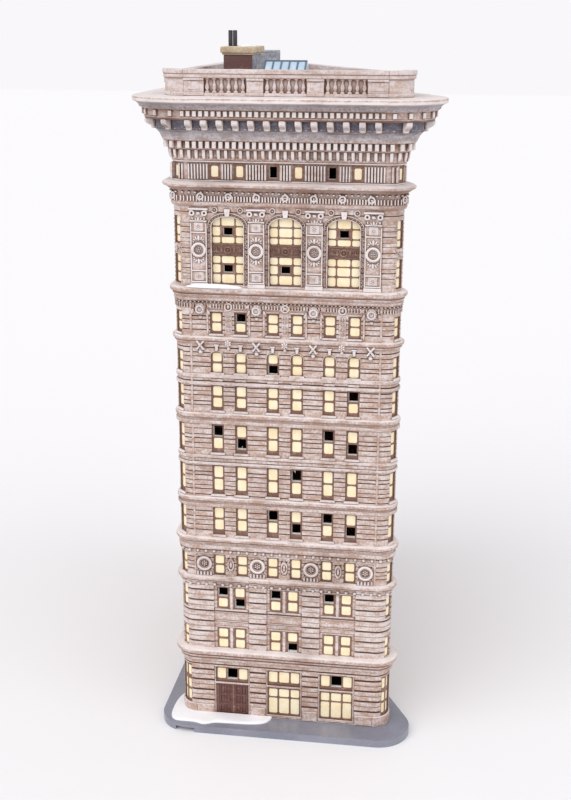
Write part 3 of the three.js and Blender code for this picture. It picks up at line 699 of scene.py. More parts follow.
class Casting:
    """A piece of the tower in the making, in the plan."""

    def __init__(self, name: str) -> None:
        """Starts empty."""
        self.name = name
        self.bm = bmesh.new()

    def stamp(
        self, part: Part, section: Face | Arc, along: float, z: float = 0.0, out: float = 0.0, bent: bool = True,
    ) -> None:
        """Lays a part down.

        Args:
            part: the part.
            section: the face or corner it goes on.
            along: where its origin goes along the section.
            z: how far it is lifted.
            out: how far it is moved out of the wall.
            bent: whether it bends round a corner.
        """
        co = part.co + np.array((0.0, -out, z))
        if isinstance(section, Arc) and not bent:
            co = section.set(co, along)
        else:
            co = section.lay(co + np.array((along, 0.0, 0.0)))
        part.mesh.vertices.foreach_set("co", co.astype(np.float32).ravel())
        self.bm.from_mesh(part.mesh)

    def row(
        self, part: Part, pitch: float, z: float = 0.0, out: float = 0.0,
        sections: Iterable[Face | Arc] = tuple(PLAN.values()),
    ) -> None:
        """Repeats a small part at an even pitch round the plan."""
        for section, along in rhythm(pitch, out, sections):
            self.stamp(part, section, along, z, out, bent=False)

    def bays(self, part: Part, z: float = 0.0, out: float = 0.0, faces: Iterable[Face] = tuple(FACES)) -> None:
        """Lays a part down at the middle of every bay."""
        for face in faces:
            for along in face.centres():
                self.stamp(part, face, along, z, out)

    def piers(self, part: Part, z: float = 0.0, out: float = 0.0) -> None:
        """Lays a part down at every bay boundary, ends of the front included."""
        for face in FACES:
            ends = [face.margin + face.pitch * i for i in range(face.bays + 1)]
            for along in ends if face is FRONT else ends[1:-1]:
                self.stamp(part, face, along, z, out)

    def moulding(
        self, profile: Sequence[tuple[float, float]], sections: Sequence[Face | Arc] = tuple(PLAN.values()),
        soft: float = 0.0, trim: float = 0.0, step: float = 9.0,
    ) -> None:
        """Sweeps a closed profile along sections of the plan: right round it, or between two capped ends.

        Args:
            profile: (out, z) points of the section, in order.
            sections: the faces and corners it runs along, in order.
            soft: width that its sharp edges are softened by.
            trim: how far a straight run stops short of the face's ends.
            step: longest stretch along a straight face.
        """
        bm = bmesh.new()
        start = sections[0].lay(np.array([(trim, -out, z) for out, z in profile]))
        verts = [bm.verts.new(p) for p in start]
        edges = [bm.edges.new((verts[i - 1], verts[i])) for i in range(len(verts))]
        for section in sections:
            if isinstance(section, Face):
                length = section.length - 2 * trim
                count = math.ceil(length / step)
                way = Vector((math.cos(section.turn), math.sin(section.turn), 0)) * length / count
                for _ in range(count):
                    made = ops.extrude_edge_only(bm, edges=edges)["geom"]
                    verts = points(made)
                    edges = [g for g in made if isinstance(g, BMEdge) and g.is_boundary]
                    edges = [e for e in edges if all(v in verts for v in e.verts)]
                    ops.translate(bm, verts=verts, vec=way)
            else:
                turn = section.end - section.start
                last = ops.spin(
                    bm, geom=verts + edges, cent=(section.x, section.y, 0), axis=(0, 0, 1),
                    angle=turn, steps=math.ceil(math.degrees(turn) / 9), use_merge=False,
                )["geom_last"]
                verts = points(last)
                edges = [g for g in last if isinstance(g, BMEdge)]
        ops.remove_doubles(bm, verts=bm.verts, dist=1e-3)
        if any(e.is_boundary for e in bm.edges):
            ops.holes_fill(bm, edges=[e for e in bm.edges if e.is_boundary], sides=0)
        ops.recalc_face_normals(bm, faces=bm.faces)
        if soft:
            sharp = [
                e for e in bm.edges if e.calc_face_angle(0) > 0.5 and min(stand(v.co) for v in e.verts) > -WALL + 0.5
            ]
            ops.bevel(
                bm, geom=sharp, offset=soft, offset_type="OFFSET", segments=2,
                profile=0.5, affect="EDGES", material=-1, clamp_overlap=True,
            )
        self.absorb(bm)

    def absorb(self, bm: BMesh) -> None:
        """Adds a bmesh that is already in the plan, and frees it."""
        mesh = bpy.data.meshes.new("swept")
        bm.to_mesh(mesh)
        bm.free()
        self.bm.from_mesh(mesh)
        bpy.data.meshes.remove(mesh)

    def finish(
        self, paint: Sequence[bpy.types.Material], slot: str, *nodes: str,
        body: str = "tower", wobble: float = 0.07, angle: float = 34.0, lift: Callable | None = None,
    ) -> bpy.types.Object:
        """Turns the casting into a piece of the scene.

        Args:
            paint: its materials, by the faces' material numbers.
            slot: the record's material slot; not used.
            nodes: the CAD nodes it stands for.
            body: the CAD body it rides on.
            wobble: how far the hand-made surface strays.
            angle: sharpest angle in degrees that still shades smooth.
            lift: where the wall face counts as standing at a height, for the relief mask.

        Returns:
            The object.
        """
        mesh = bpy.data.meshes.new(self.name)
        for v in self.bm.verts:
            v.co += waver(v.co * 0.22) * wobble + waver(v.co * 0.9) * wobble * 0.5
        self.bm.to_mesh(mesh)
        self.bm.free()
        co = np.zeros(len(mesh.vertices) * 3, np.float32)
        mesh.vertices.foreach_get("co", co)
        co = co.reshape(-1, 3).astype(float)
        relief = np.zeros(len(co), np.float32)
        if lift is not None:
            relief = (stand_out(co)[0] - lift(co[:, 2])).astype(np.float32)
        mesh.attributes.new("relief", "FLOAT", "POINT").data.foreach_set("value", relief)
        return place_piece(mesh, self.name, paint, nodes, body, angle)


def place_piece(
    mesh: bpy.types.Mesh, name: str, paint: Sequence[bpy.types.Material],
    nodes: Sequence[str], body: str, angle: float,
) -> bpy.types.Object:
    """Takes a mesh from the plan's millimetres to the shared frame and puts it on its body."""
    mesh.transform(Matrix.Scale(MM, 4) @ Matrix.Translation((0, -DEPTH / 2, 0)))
    mesh.shade_smooth()
    mesh.set_sharp_from_angle(angle=math.radians(angle))
    for material in paint:
        mesh.materials.append(material)
    piece = bpy.data.objects.new(name, mesh)
    bpy.context.scene.collection.objects.link(piece)
    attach(piece, body)
    if nodes:
        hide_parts(*nodes)
    LOG.info("%s: %d faces", name, len(mesh.polygons))
    return piece


def stand(point: Vector) -> float:
    """How far one point of the plan stands outside the wall face."""
    return float(stand_out(np.array([point]))[0][0])


# ---------------------------------------------------------------- walls and windows
def spaced(edges: Iterable[float], step: float) -> list[float]:
    """The edges in order, with even steps between those that lie far apart."""
    marks = sorted(set(round(e, 4) for e in edges))
    filled = [marks[0]]
    for mark in marks[1:]:
        count = math.ceil((mark - filled[-1]) / step)
        start = filled[-1]
        filled += [start + (mark - start) * (i + 1) / count for i in range(count)]
    return filled


def grooved(
    bottom: float, top: float, pitch: float, sink: float, half: float, keep: Iterable[float] = (), phase: float = 0.5,
) -> Rows:
    """Rows of a wall face: level edges and the grooves between its courses.

    Args:
        bottom: foot of the wall.
        top: top of the wall.
        pitch: height of a course.
        sink: depth of a groove.
        half: half the width of a groove.
        keep: heights that must have a row, such as window edges.
        phase: where the first groove is, in courses above the foot.

    Returns:
        (height, sink) of each row, upwards.
    """
    held = sorted({bottom, top, *keep})
    rows = [(z, 0.0) for z in held]
    count = int((top - bottom) / pitch - phase) + 1
    for i in range(count):
        z = bottom + pitch * (i + phase)
        z += 0.12 * pitch * math.sin(2.4 * i + bottom)
        near = min(abs(z - k) for k in held)
        if near > half + 0.15:
            deep = sink * (1 + 0.3 * math.sin(1.7 * i + top))
            rows += [(z - half, 0.0), (z, deep), (z + half, 0.0)]
    return sorted(rows)


def grid(
    xs: Sequence[float], rows: Rows, relief: Callable[[float, float, float], float], openings: Iterable[Rect] = (),
) -> BMesh:
    """A wall panel: a grid on the given lines, with openings cut out.

    Args:
        xs: its upright lines.
        rows: its level lines, each with how far it sinks.
        relief: how far a point stands out, from its x, z and sink.
        openings: left, right, bottom and top of each opening.

    Returns:
        The panel, facing out.
    """
    bm = bmesh.new()
    ops.create_grid(bm, x_segments=len(xs) - 1, y_segments=len(rows) - 1, size=1)
    for v in bm.verts:
        x = xs[round((v.co.x + 1) / 2 * (len(xs) - 1))]
        z, sink = rows[round((v.co.y + 1) / 2 * (len(rows) - 1))]
        v.co = (x, -relief(x, z, sink), z)
    gone = []
    for f in bm.faces:
        m = f.calc_center_median()
        if any(a < m.x < b and c < m.z < d for a, b, c, d in openings):
            gone.append(f)
    ops.delete(bm, geom=gone, context="FACES")
    return bm


class Wall(Casting):
    """A storey's wall: panels laid round the plan, merged, then given the casting's thickness."""

    def __init__(self, name: str, rows: Rows, face: float = 0.0) -> None:
        """Starts a wall with those rows, its face standing that far out."""
        super().__init__(name)
        self.rows = rows
        self.face = face

    def plain(self, x: float, z: float, sink: float) -> float:
        """Relief of a wall with only its grooves."""
        return self.face - sink

    def round(
        self, openings: Callable[[Face, int], Sequence[Rect]], corner_openings: Callable[[Arc], Sequence[Rect]],
        relief: Callable[[float, float, float], float] | None = None, marks: Iterable[float] = (), step: float = 3.2,
    ) -> None:
        """Lays the wall round the plan.

        Args:
            openings: the openings of a face's bay, about its middle.
            corner_openings: the openings of a corner, along it.
            relief: relief of a bay, about its middle.
            marks: more upright lines that a bay needs.
            step: longest stretch between upright lines.
        """
        for face in FACES:
            half = face.pitch / 2
            for bay, along in enumerate(face.centres()):
                cut = openings(face, bay)
                xs = spaced([-half, half, *marks, *(x for o in cut for x in o[:2])], step)
                self.stamp(Part(grid(xs, self.rows, relief or self.plain, cut)), face, along)
            if face.margin > 0.01:
                end = Part(grid(spaced([0, face.margin], step), self.rows, self.plain))
                self.stamp(end, face, 0)
                self.stamp(end, face, face.length - face.margin)
        for arc in ARCS:
            cut = corner_openings(arc)
            xs = spaced([0, arc.length, *(x for o in cut for x in o[:2])], 1.6)
            self.stamp(Part(grid(xs, self.rows, self.plain, cut)), arc, 0)
        ops.remove_doubles(self.bm, verts=self.bm.verts, dist=0.01)

    def thicken(self) -> None:
        """Gives the face the wall's thickness and closes it at its rims and openings."""
        made = ops.extrude_face_region(self.bm, geom=self.bm.faces[:], use_keep_orig=True)["geom"]
        inner = points(made)
        co = np.array([v.co for v in inner])
        out, away = stand_out(co)
        moved = co - away * (out + WALL)[:, None]
        for v, p in zip(inner, moved, strict=True):
            v.co = p
        ops.recalc_face_normals(self.bm, faces=self.bm.faces)


@dataclass(frozen=True)
class Window:
    """A dark frame let into the wall, with sunk panes that are painted or pierced."""

    width: float
    bottom: float
    top: float
    panes: tuple[Rect, ...]
    back: float = 0.75
    sunk: float = 0.3

    def frame(self, pierced: frozenset[int] = frozenset(), bent: bool = False) -> Part:
        """The frame, with a through hole for each pierced pane."""
        half = self.width / 2
        xs = spaced([-half, half, *(x for p in self.panes for x in p[:2])], 1.2 if bent else 9.0)
        zs = spaced([self.bottom, self.top, *(z for p in self.panes for z in p[2:])], 30.0)
        holes = [p for i, p in enumerate(self.panes) if i in pierced]
        bm = grid(xs, [(z, 0.0) for z in zs], lambda x, z, s: -self.back, holes)
        for i, (a, b, c, d) in enumerate(self.panes):
            if i not in pierced:
                faces = [f for f in bm.faces if a < f.calc_center_median().x < b and c < f.calc_center_median().z < d]
                ops.inset_region(bm, faces=faces, thickness=0.1, depth=-self.sunk, use_even_offset=True)
        made = ops.extrude_face_region(bm, geom=bm.faces[:], use_keep_orig=True)["geom"]
        for v in points(made):
            v.co.y = WALL - 0.05
        ops.recalc_face_normals(bm, faces=bm.faces)
        for f in bm.faces:
            m = f.calc_center_median()
            if any(a - 0.01 < m.x < b + 0.01 and c - 0.01 < m.z < d + 0.01 for a, b, c, d in holes):
                f.material_index = 1
        return Part(bm)

    def lights(self, pierced: frozenset[int] = frozenset(), bent: bool = False) -> Part | None:
        """The painted panes: thin plates with rounded corners."""
        bm = bmesh.new()
        for i, (a, b, c, d) in enumerate(self.panes):
            if i in pierced:
                continue
            old = set(bm.verts)
            ops.create_grid(bm, x_segments=4 if bent else 1, y_segments=1, size=1)
            fresh = [v for v in bm.verts if v not in old]
            for v in fresh:
                v.co = ((a + b) / 2 + v.co.x * ((b - a) / 2 - 0.06), 0.0, (c + d) / 2 + v.co.y * ((d - c) / 2 - 0.06))
            ends = [v for v in fresh if len(v.link_faces) == 1]
            ops.bevel(
                bm, geom=ends, offset=min(0.8, (b - a) / 4), offset_type="OFFSET", segments=3,
                profile=0.5, affect="VERTICES", material=-1,
            )
        if not bm.faces:
            bm.free()
            return None
        ops.translate(bm, verts=bm.verts, vec=(0, self.back + self.sunk - 0.06, 0))
        made = ops.extrude_face_region(bm, geom=bm.faces[:], use_keep_orig=True)["geom"]
        fresh = points(made)
        ops.translate(bm, verts=fresh, vec=(0, 0.25, 0))
        ops.recalc_face_normals(bm, faces=bm.faces)
        return Part(bm)


def sash(width: float, bottom: float, top: float, up: float, low: float, tall: float = 4.9) -> Window:
    """A window of two panes, one above the other, at those heights."""
    side = width / 2 - 0.85
    return Window(width, bottom, top, tuple((-side, side, z - tall / 2, z + tall / 2) for z in (up, low)))


@dataclass
class Glazing:
    """A storey's windows in two castings: the frames, and the painted panes in them."""

    name: str
    frames: Casting = field(init=False)
    lights: Casting = field(init=False)
    parts: dict = field(default_factory=dict)

    def __post_init__(self) -> None:
        """Starts both castings."""
        self.frames = Casting(self.name + "_frames")
        self.lights = Casting(self.name + "_panes")

    def hang(self, window: Window, section: Face | Arc, along: float, pierced: frozenset[int] = frozenset()) -> None:
        """Puts a window in the wall."""
        bent = isinstance(section, Arc)
        key = (window, pierced, bent)
        if key not in self.parts:
            self.parts[key] = (window.frame(pierced, bent), window.lights(pierced, bent))
        frame_part, lights = self.parts[key]
        self.frames.stamp(frame_part, section, along)
        if lights:
            self.lights.stamp(lights, section, along)

    def finish(self) -> None:
        """Dresses the frames brown and the panes cream."""
        self.frames.finish([FRAME_BROWN.material(), BISQUE.material()], "frame_brown", wobble=0.03)
        self.lights.finish([CREAM.material()], "window_cream", wobble=0.03)


# ---------------------------------------------------------------- the wall's storeys
def columns(arc: Arc) -> list[float]:
    """Where along a corner its window columns stand."""
    count = 2 if arc is PLAN["prow"] else 1
    return [arc.length * (i + 0.5) / count for i in range(count)]


Pierced = dict[tuple[int, int], int]  # (storey of the wall, front column) to the pane that is a hole


@dataclass
class Storey:
    """A storey or two of paired windows in grooved stone."""

    name: str
    bottom: float
    top: float
    windows: tuple[Window, ...]
    heights: tuple[float, ...]
    pierced: Pierced
    pair: float = PAIR
    course: float = 2.5
    sink: float = 0.5
    groove: float = 0.36
    face: float = 0.0
    slot_width: float = 4.6
    wall: Wall = field(init=False)
    glazing: Glazing = field(init=False)

    def slots(self) -> list[Window]:
        """The narrow windows of the corners, at the same heights."""
        side = self.slot_width / 2 - 0.7
        return [
            Window(self.slot_width, w.bottom, w.top, tuple((-side, side, c, d) for _, _, c, d in w.panes))
            for w in self.windows
        ]

    def openings(self, face: Face, bay: int) -> list[Rect]:
        """The openings of a bay."""
        return [
            (x - w.width / 2, x + w.width / 2, w.bottom, w.top)
            for w in self.windows for x in (-self.pair / 2, self.pair / 2)
        ]

    def corner_openings(self, arc: Arc) -> list[Rect]:
        """The openings of a corner."""
        return [
            (x - w.width / 2, x + w.width / 2, w.bottom, w.top) for w in self.slots() for x in columns(arc)
        ]

    def relief(self, x: float, z: float, sink: float) -> float:
        """How far a point of a bay stands out."""
        return self.face - sink

    def base(self) -> float:
        """How far out the ground of the relief stands, for the paint."""
        return self.face

    def marks(self) -> tuple[float, ...]:
        """Upright lines that a bay's relief needs."""
        return ()

    def held(self) -> list[float]:
        """Heights that need a row of their own."""
        return [z for w in self.windows for z in (w.bottom, w.top)]

    def rows(self) -> Rows:
        """The wall's rows: its courses and the edges of its windows."""
        return grooved(self.bottom, self.top, self.course, self.sink, self.groove, self.held())

    def hole(self, face: Face, column: int, level: int) -> frozenset[int]:
        """The pane that is pierced in a window, if any."""
        if face is FRONT:
            pane = self.pierced.get((level, column))
        else:
            lit = (column + 2 * level + round(self.heights[level])) % 5 == 0
            pane = column % 2 if lit else None
        return frozenset() if pane is None else frozenset({pane})

    def build(self) -> None:
        """Lays the wall and hangs its windows."""
        self.wall = Wall(self.name + "_stone", self.rows(), self.face)
        self.wall.round(self.openings, self.corner_openings, self.relief, self.marks())
        self.wall.thicken()
        self.glazing = Glazing(self.name)
        self.hang()

    def hang(self) -> None:
        """Hangs the windows."""
        for level, window in enumerate(self.windows):
            for face in FACES:
                for bay, along in enumerate(face.centres()):
                    for side in (0, 1):
                        x = along + (side - 0.5) * self.pair
                        self.glazing.hang(window, face, x, self.hole(face, 2 * bay + side, level))
            for arc in ARCS:
                for x in columns(arc):
                    self.glazing.hang(self.slots()[level], arc, x)

    def sills(self, window: Window, width: float = 7.6, height: float = 1.1, out: float = 0.75) -> None:
        """Pale sills under a row of windows."""
        sill = Relief()
        for x in (-self.pair / 2, self.pair / 2):
            sill.plate(x, window.bottom - height / 2, width, height, out)
        self.wall.bays(sill.part())
        small = Relief().plate(0, window.bottom - height / 2, self.slot_width + 0.8, height, out).part()
        for arc in ARCS:
            for x in columns(arc):
                self.wall.stamp(small, arc, x, bent=False)

    def band(self, bottom: float, top: float, out: float) -> None:
        """A thin course that runs round the tower."""
        self.wall.moulding(
            [(-0.6, bottom), (out * 0.7, bottom), (out, bottom + 0.3), (out, top - 0.3), (out * 0.6, top), (-0.6, top)],
            soft=0.1,
        )

    def jambs(self) -> None:
        """A smooth upright strip where each face meets a corner."""
        height = self.top - self.bottom
        strip = Relief().plate(0, self.bottom + height / 2, 1.1, height - 0.3, 0.28).part()
        for face in FACES:
            for along in (0.7, face.length - 0.7):
                self.wall.stamp(strip, face, along)

    def dress(self) -> None:
        """Adds the storey's own ornament."""
        self.jambs()
        for window in self.windows:
            self.sills(window)

    def finish(self) -> None:
        """Paints the storey and puts it on the tower."""
        self.wall.finish([STONE.material()], "stone_body", self.name, lift=lambda z: 0 * z + self.base())
        self.glazing.finish()

    def make(self) -> None:
        """Builds, dresses and finishes."""
        self.build()
        self.dress()
        self.finish()


class LowerStoreys(Storey):
    """The two storeys above the ground storey: rusticated piers between sunk bays."""

    half: float = 9.3
    deep: float = 0.7

    def marks(self) -> tuple[float, ...]:
        """The edges of the sunk bay."""
        return (-self.half - 0.12, -self.half + 0.12, self.half - 0.12, self.half + 0.12)

    def relief(self, x: float, z: float, sink: float) -> float:
        """Sunk and smooth between the piers."""
        if abs(x) < self.half:
            return self.face - self.deep - 0.2 * sink
        return self.face - sink

    def rows(self) -> Rows:
        """Strong joints with a faint line half way between."""
        rows = [(z, 0.0) for z in (self.bottom, self.top, *self.held())]
        joint = 47.7
        while joint < self.top - 1:
            for at, deep, half in ((joint, 0.95, 0.55), (joint + 3.0, 0.3, 0.3)):
                if min(abs(at - z) for z, s in rows if s == 0.0) > 0.05 and at < self.top - 0.6:
                    rows += [(at - half, 0.001), (at - half * 0.35, deep), (at + half * 0.35, deep), (at + half, 0.001)]
            joint += 6.03
        return sorted(rows)

    def base(self) -> float:
        """The sunk bays are the ground, so that the piers take the dry brush."""
        return self.face - self.deep

    def dress(self) -> None:
        """Mullions between the pair, a plain spandrel with two fine lines, and a row of dots above."""
        low, high = self.windows
        trim = Relief()
        for w in self.windows:
            trim.plate(0, (w.bottom + w.top) / 2, 1.5, w.top - w.bottom, -0.05, back=1.2)
            trim.plate(0, w.top + 0.45, 17.4, 0.7, -0.3, back=1.2)
            trim.plate(0, w.bottom - 0.4, 17.6, 0.8, -0.1, back=1.2)
        middle = (low.top + high.bottom) / 2
        trim.plate(0, middle + 3.4, 17.8, 0.5, -0.35, back=1.2)
        trim.plate(0, middle - 1.6, 17.8, 0.5, -0.35, back=1.2)
        self.wall.bays(trim.part())
        self.wall.row(Relief().dome(0, 81.5, 1.9, 1.9, 1.2, detail=1).part(), 4.3)


class MedallionStorey(Storey):
    """A low storey with roundels between its bays and an oval in the middle of each."""

    def dress(self) -> None:
        """Roundels, ovals, balusters and rosettes."""
        self.jambs()
        self.sills(self.windows[0], height=0.8)
        roundel = Relief().hoop(0, 93.3, 3.4, 0.75, 0.5).hoop(0, 93.3, 2.5, 0.3, 0.3)
        roundel.rosette(0, 93.3, 3.6, 1.0, petals=6)
        for side in (-1, 1):
            roundel.dome(side * 3.9, 97.2, 1.4, 1.4, 0.7, detail=1).dome(side * 3.9, 89.9, 1.2, 1.2, 0.6, detail=1)
        for i in range(-2, 3):
            roundel.plate(i * 1.75, 87.7, 1.0, 2.3, 0.75, soft=0.2)
        roundel.plate(0, 98.9, 9.4, 0.7, 0.5)
        self.wall.piers(roundel.part())
        oval = Relief().hoop(0, 93.1, 1.45, 0.42, 0.3, tall=2.1).dome(0, 93.1, 1.7, 4.4, 0.8)
        oval.dome(0, 97.4, 1.8, 1.4, 0.8, detail=1).dome(0, 88.6, 1.8, 1.4, 0.8, detail=1)
        for side in (-1, 1):
            oval.dome(side * 2.0, 96.3, 1.0, 1.6, 0.7, turn=side * 0.6, detail=1)
            oval.dome(side * 2.0, 89.8, 1.0, 1.6, 0.7, turn=-side * 0.6, detail=1)
        self.wall.bays(oval.part())
        dot = Relief().dome(0, 100.4, 2.0, 2.0, 1.3, detail=1).part()
        self.wall.row(dot, 4.35)
        self.band(99.1, 99.5, 0.3)


class SixthAndSeventh(Storey):
    """Two storeys of the shaft with a double course between them."""

    courses: tuple[tuple[float, float], ...] = ((148.2, 149.7), (151.8, 153.5))

    def dress(self) -> None:
        """The courses and the little sunk panels between them."""
        super().dress()
        for bottom, top in self.courses:
            self.band(bottom, top, 0.7)
        foot, head = self.courses[0][1], self.courses[1][0]
        blank = Relief()
        for x in (-self.pair / 2, self.pair / 2):
            blank.plate(x, (foot + head) / 2, 5.6, (head - foot) * 0.72, 0.3)
        self.wall.bays(blank.part())


class EighthAndNinth(SixthAndSeventh):
    """The top of the shaft, its upper windows under keystones and hanging acorns."""

    courses: tuple[tuple[float, float], ...] = ((190.4, 192.1), (194.1, 196.2))

    def dress(self) -> None:
        """Round window heads, keystones, and drops under the bay boundaries."""
        super().dress()
        window = self.windows[1]
        head = Relief().head(window.width / 2, 2.5, window.top - 2.5, window.top + 0.05, 1.6).part()
        hood = Relief().band(window.width / 2, 2.5, window.top - 2.5, window.top - 3.4, 0.45, 0.4, steps=8).part()
        for face in FACES:
            for along in face.centres():
                for x in (-self.pair / 2, self.pair / 2):
                    self.wall.stamp(head, face, along + x)
                    self.wall.stamp(hood, face, along + x)
        key = Relief()
        for x in (-self.pair / 2, self.pair / 2):
            key.plate(x, 209.7, 1.3, 2.9, 0.9, top=1.25).plate(x, 211.2, 2.5, 0.7, 1.2)
        self.wall.bays(key.part())
        drop = Relief()
        for side in (-1, 1):
            drop.plate(0, 211.0, 5.6, 0.85, 2.2, turn=side * 0.9, soft=0.3)
            drop.dome(side * 1.9, 208.9, 0.9, 2.0, 0.9, turn=side * 0.5)
        drop.dome(0, 207.6, 2.3, 3.0, 1.6).dome(0, 209.0, 2.8, 1.2, 1.8).dome(
            0, 211.4, 1.6, 1.6, 1.2, base=2.0, detail=1,
        )
        self.wall.piers(drop.part())
        self.wall.bays(Relief().rosette(0, 212.4, 3.4, 1.0, petals=6).part(), out=1.9)
        self.wall.bays(Relief().dome(0, 209.6, 1.7, 2.4, 1.2).part())


class FestoonStorey(Storey):
    """A low, richly modelled storey: bosses, ring roundels and foliate strips between its windows."""

    def dress(self) -> None:
        """Beads, flutes, bosses and strips."""
        self.sills(self.windows[0], height=0.9)
        bay = Relief()
        for side in (-1, 1):
            bay.plate(side * 10.4, 222.3, 1.0, 12.2, 0.5)
            bay.plate(side * 6, 228.3, 6.8, 0.8, 0.5)
        bay.hoop(0, 230.4, 1.75, 0.45, 0.35, steps=14).dome(0, 230.4, 1.8, 1.8, 0.8)
        bay.plate(0, 222.0, 3.5, 10.6, 0.25)
        for i in range(4):
            bay.leaves(0, 218.6 + 2.5 * i, 3.4, 2.5, 0.75, up=1 if i % 2 else -1)
        self.wall.bays(bay.part())
        boss = Relief().dome(0, 229.1, 5.4, 6.2, 1.7).hoop(0, 229.1, 1.7, 0.4, 2.0, steps=14)
        for turn in range(9):
            angle = TURN * turn / 9
            boss.dome(2.1 * math.sin(angle), 229.1 + 2.4 * math.cos(angle), 0.9, 1.5, 1.9, turn=angle, detail=1)
        boss.dome(0, 229.5, 1.1, 2.0, 2.4, detail=1)
        for side in (-1, 1):
            boss.dome(side * 3.9, 227.6, 1.8, 3.6, 0.8, turn=-side * 0.4)
            boss.dome(side * 4.6, 230.6, 1.6, 2.2, 0.7)
        boss.dome(0, 224.9, 2.2, 2.0, 0.8)
        self.wall.piers(boss.part())
        flute = Relief().plate(0, 230.7, 0.75, 2.3, 0.55, soft=0.1).part()
        bead = Relief().dome(0, 232.7, 1.2, 1.0, 1.0, detail=1).part()
        self.wall.row(bead, 2.0)
        self.wall.row(flute, 1.45)
        self.jambs()


@dataclass
class ArchStorey(Storey):
    """The tall storey of arched windows, with panelled pilasters between them."""

    half: float = 7.7
    rise: float = 4.4
    spring: float = 269.9
    sill: float = 241.4
    rows_low: tuple[tuple[float, float], ...] = ((251.7, 255.2), (247.0, 251.2), (242.0, 246.4))
    rows_high: tuple[tuple[float, float], ...] = ((269.8, 274.0), (265.0, 269.3), (261.5, 264.5))
    across: tuple[tuple[float, float], ...] = ((-7.55, -3.75), (-3.2, 3.2), (3.75, 7.55))

    def arched(self, cut: frozenset[int]) -> Window:
        """The three-light window with its two tiers of panes; a pierced pane is smaller, in a broader frame."""
        panes = [(a, b, c, d) for c, d in self.rows_high + self.rows_low for a, b in self.across]
        for i in cut:
            middle = (panes[i][2] + panes[i][3]) / 2
            panes[i] = (-2.2, 2.2, middle - 1.8, middle + 1.8)
        panes = tuple(panes)
        return Window(2 * self.half, self.sill, self.spring + self.rise + 0.1, panes, back=1.15)

    def openings(self, face: Face, bay: int) -> list[Rect]:
        """One tall opening to a bay."""
        return [(-self.half, self.half, self.sill, self.spring + self.rise)]

    def slots(self) -> list[Window]:
        """Two narrow windows, one over the other, at each corner column."""
        side = self.slot_width / 2 - 0.7
        high = tuple((-side, side, c, d) for c, d in self.rows_high)
        low = tuple((-side, side, c, d) for c, d in self.rows_low)
        return [Window(self.slot_width, 241.4, 255.6, low), Window(self.slot_width, 260.8, 274.2, high)]

    def held(self) -> list[float]:
        """Heights of the opening and of the corner windows."""
        return [self.sill, self.spring + self.rise, 241.4, 255.6, 260.8, 274.2]

    def hang(self) -> None:
        """Hangs the arched windows and the corner ones."""
        upper, lower = 4, 13
        front = ({upper, lower}, {lower}, {upper})
        for face in FACES:
            for bay, along in enumerate(face.centres()):
                cut = front[bay] if face is FRONT else {upper} if bay % 2 else set()
                self.glazing.hang(self.arched(frozenset(cut)), face, along, frozenset(cut))
        for arc in ARCS:
            for x in columns(arc):
                for slot in self.slots():
                    self.glazing.hang(slot, arc, x)

    def dress(self) -> None:
        """Arch heads, archivolts, pearl beading, spandrels and pilasters."""
        top = self.spring + self.rise
        bay = Relief().head(self.half + 0.05, self.rise, self.spring, top + 0.05, WALL - 0.3)
        bay.band(self.half, self.rise, self.spring, self.sill, 0.5, 0.75, steps=16)
        bay.band(self.half + 1.55, self.rise + 1.5, self.spring, self.spring - 1.2, 0.55, 0.6, steps=16)
        for side in (-1, 1):
            for i in range(15):
                bay.dome(side * (self.half + 1.05), self.sill + 1.2 + 1.93 * i, 1.0, 1.1, 0.75, detail=1)
            bay.hoop(side * 6.2, 277.5, 1.3, 0.4, 0.3, steps=12).dome(side * 6.2, 277.5, 1.3, 1.3, 0.7, detail=1)
        for i in range(13):
            a = math.pi * (i + 0.5) / 13
            x, z = (self.half + 1.05) * math.cos(a), self.spring + (self.rise + 1.0) * math.sin(a)
            bay.dome(x, z, 1.0, 1.0, 0.75, detail=1)
        bay.plate(0, 276.3, 2.0, 3.6, 1.2, top=1.5).dome(0, 276.6, 1.5, 2.4, 1.7, detail=1)
        bay.plate(0, 240.8, 19.6, 1.1, 0.7)
        self.wall.bays(bay.part())
        spandrel = Relief().plate(0, 258.35, 15.0, 6.0, -0.75, back=1.6)
        for side in (-1, 1):
            spandrel.plate(
                side * 3.6, 260.9, 6.6, 0.6, -0.35, back=1.2,
            ).plate(side * 3.6, 255.8, 6.6, 0.6, -0.35, back=1.2)
            spandrel.leaves(side * 5.6, 258.3, 3.0, 3.2, 0.35)
            spandrel.dome(side * 3.1, 258.3, 1.4, 2.6, 0.3)
        spandrel.hoop(0, 258.3, 1.5, 0.35, 0.35, steps=12).dome(0, 258.3, 1.7, 1.7, 0.4)
        part = spandrel.part()
        for face in FACES:
            for along in face.centres():
                self.glazing.frames.stamp(part, face, along, out=-0.35)
        for face in FACES:
            part = self.pilaster(min(8.0, face.pitch - 19.6))
            ends = [face.margin + face.pitch * i for i in range(face.bays + 1)]
            for along in ends if face is FRONT else ends[1:-1]:
                self.wall.stamp(part, face, along)
        slim = Relief()
        for side in (-1, 1):
            for i in range(16):
                slim.dome(side * 2.9, 242.4 + 2.0 * i, 0.9, 1.1, 0.4, detail=1)
        slim.plate(0, 258.2, 4.4, 4.2, 0.2).leaves(0, 258.2, 3.4, 3.4, 0.7)
        slim = slim.part()
        for arc in ARCS:
            for x in columns(arc):
                self.wall.stamp(slim, arc, x)

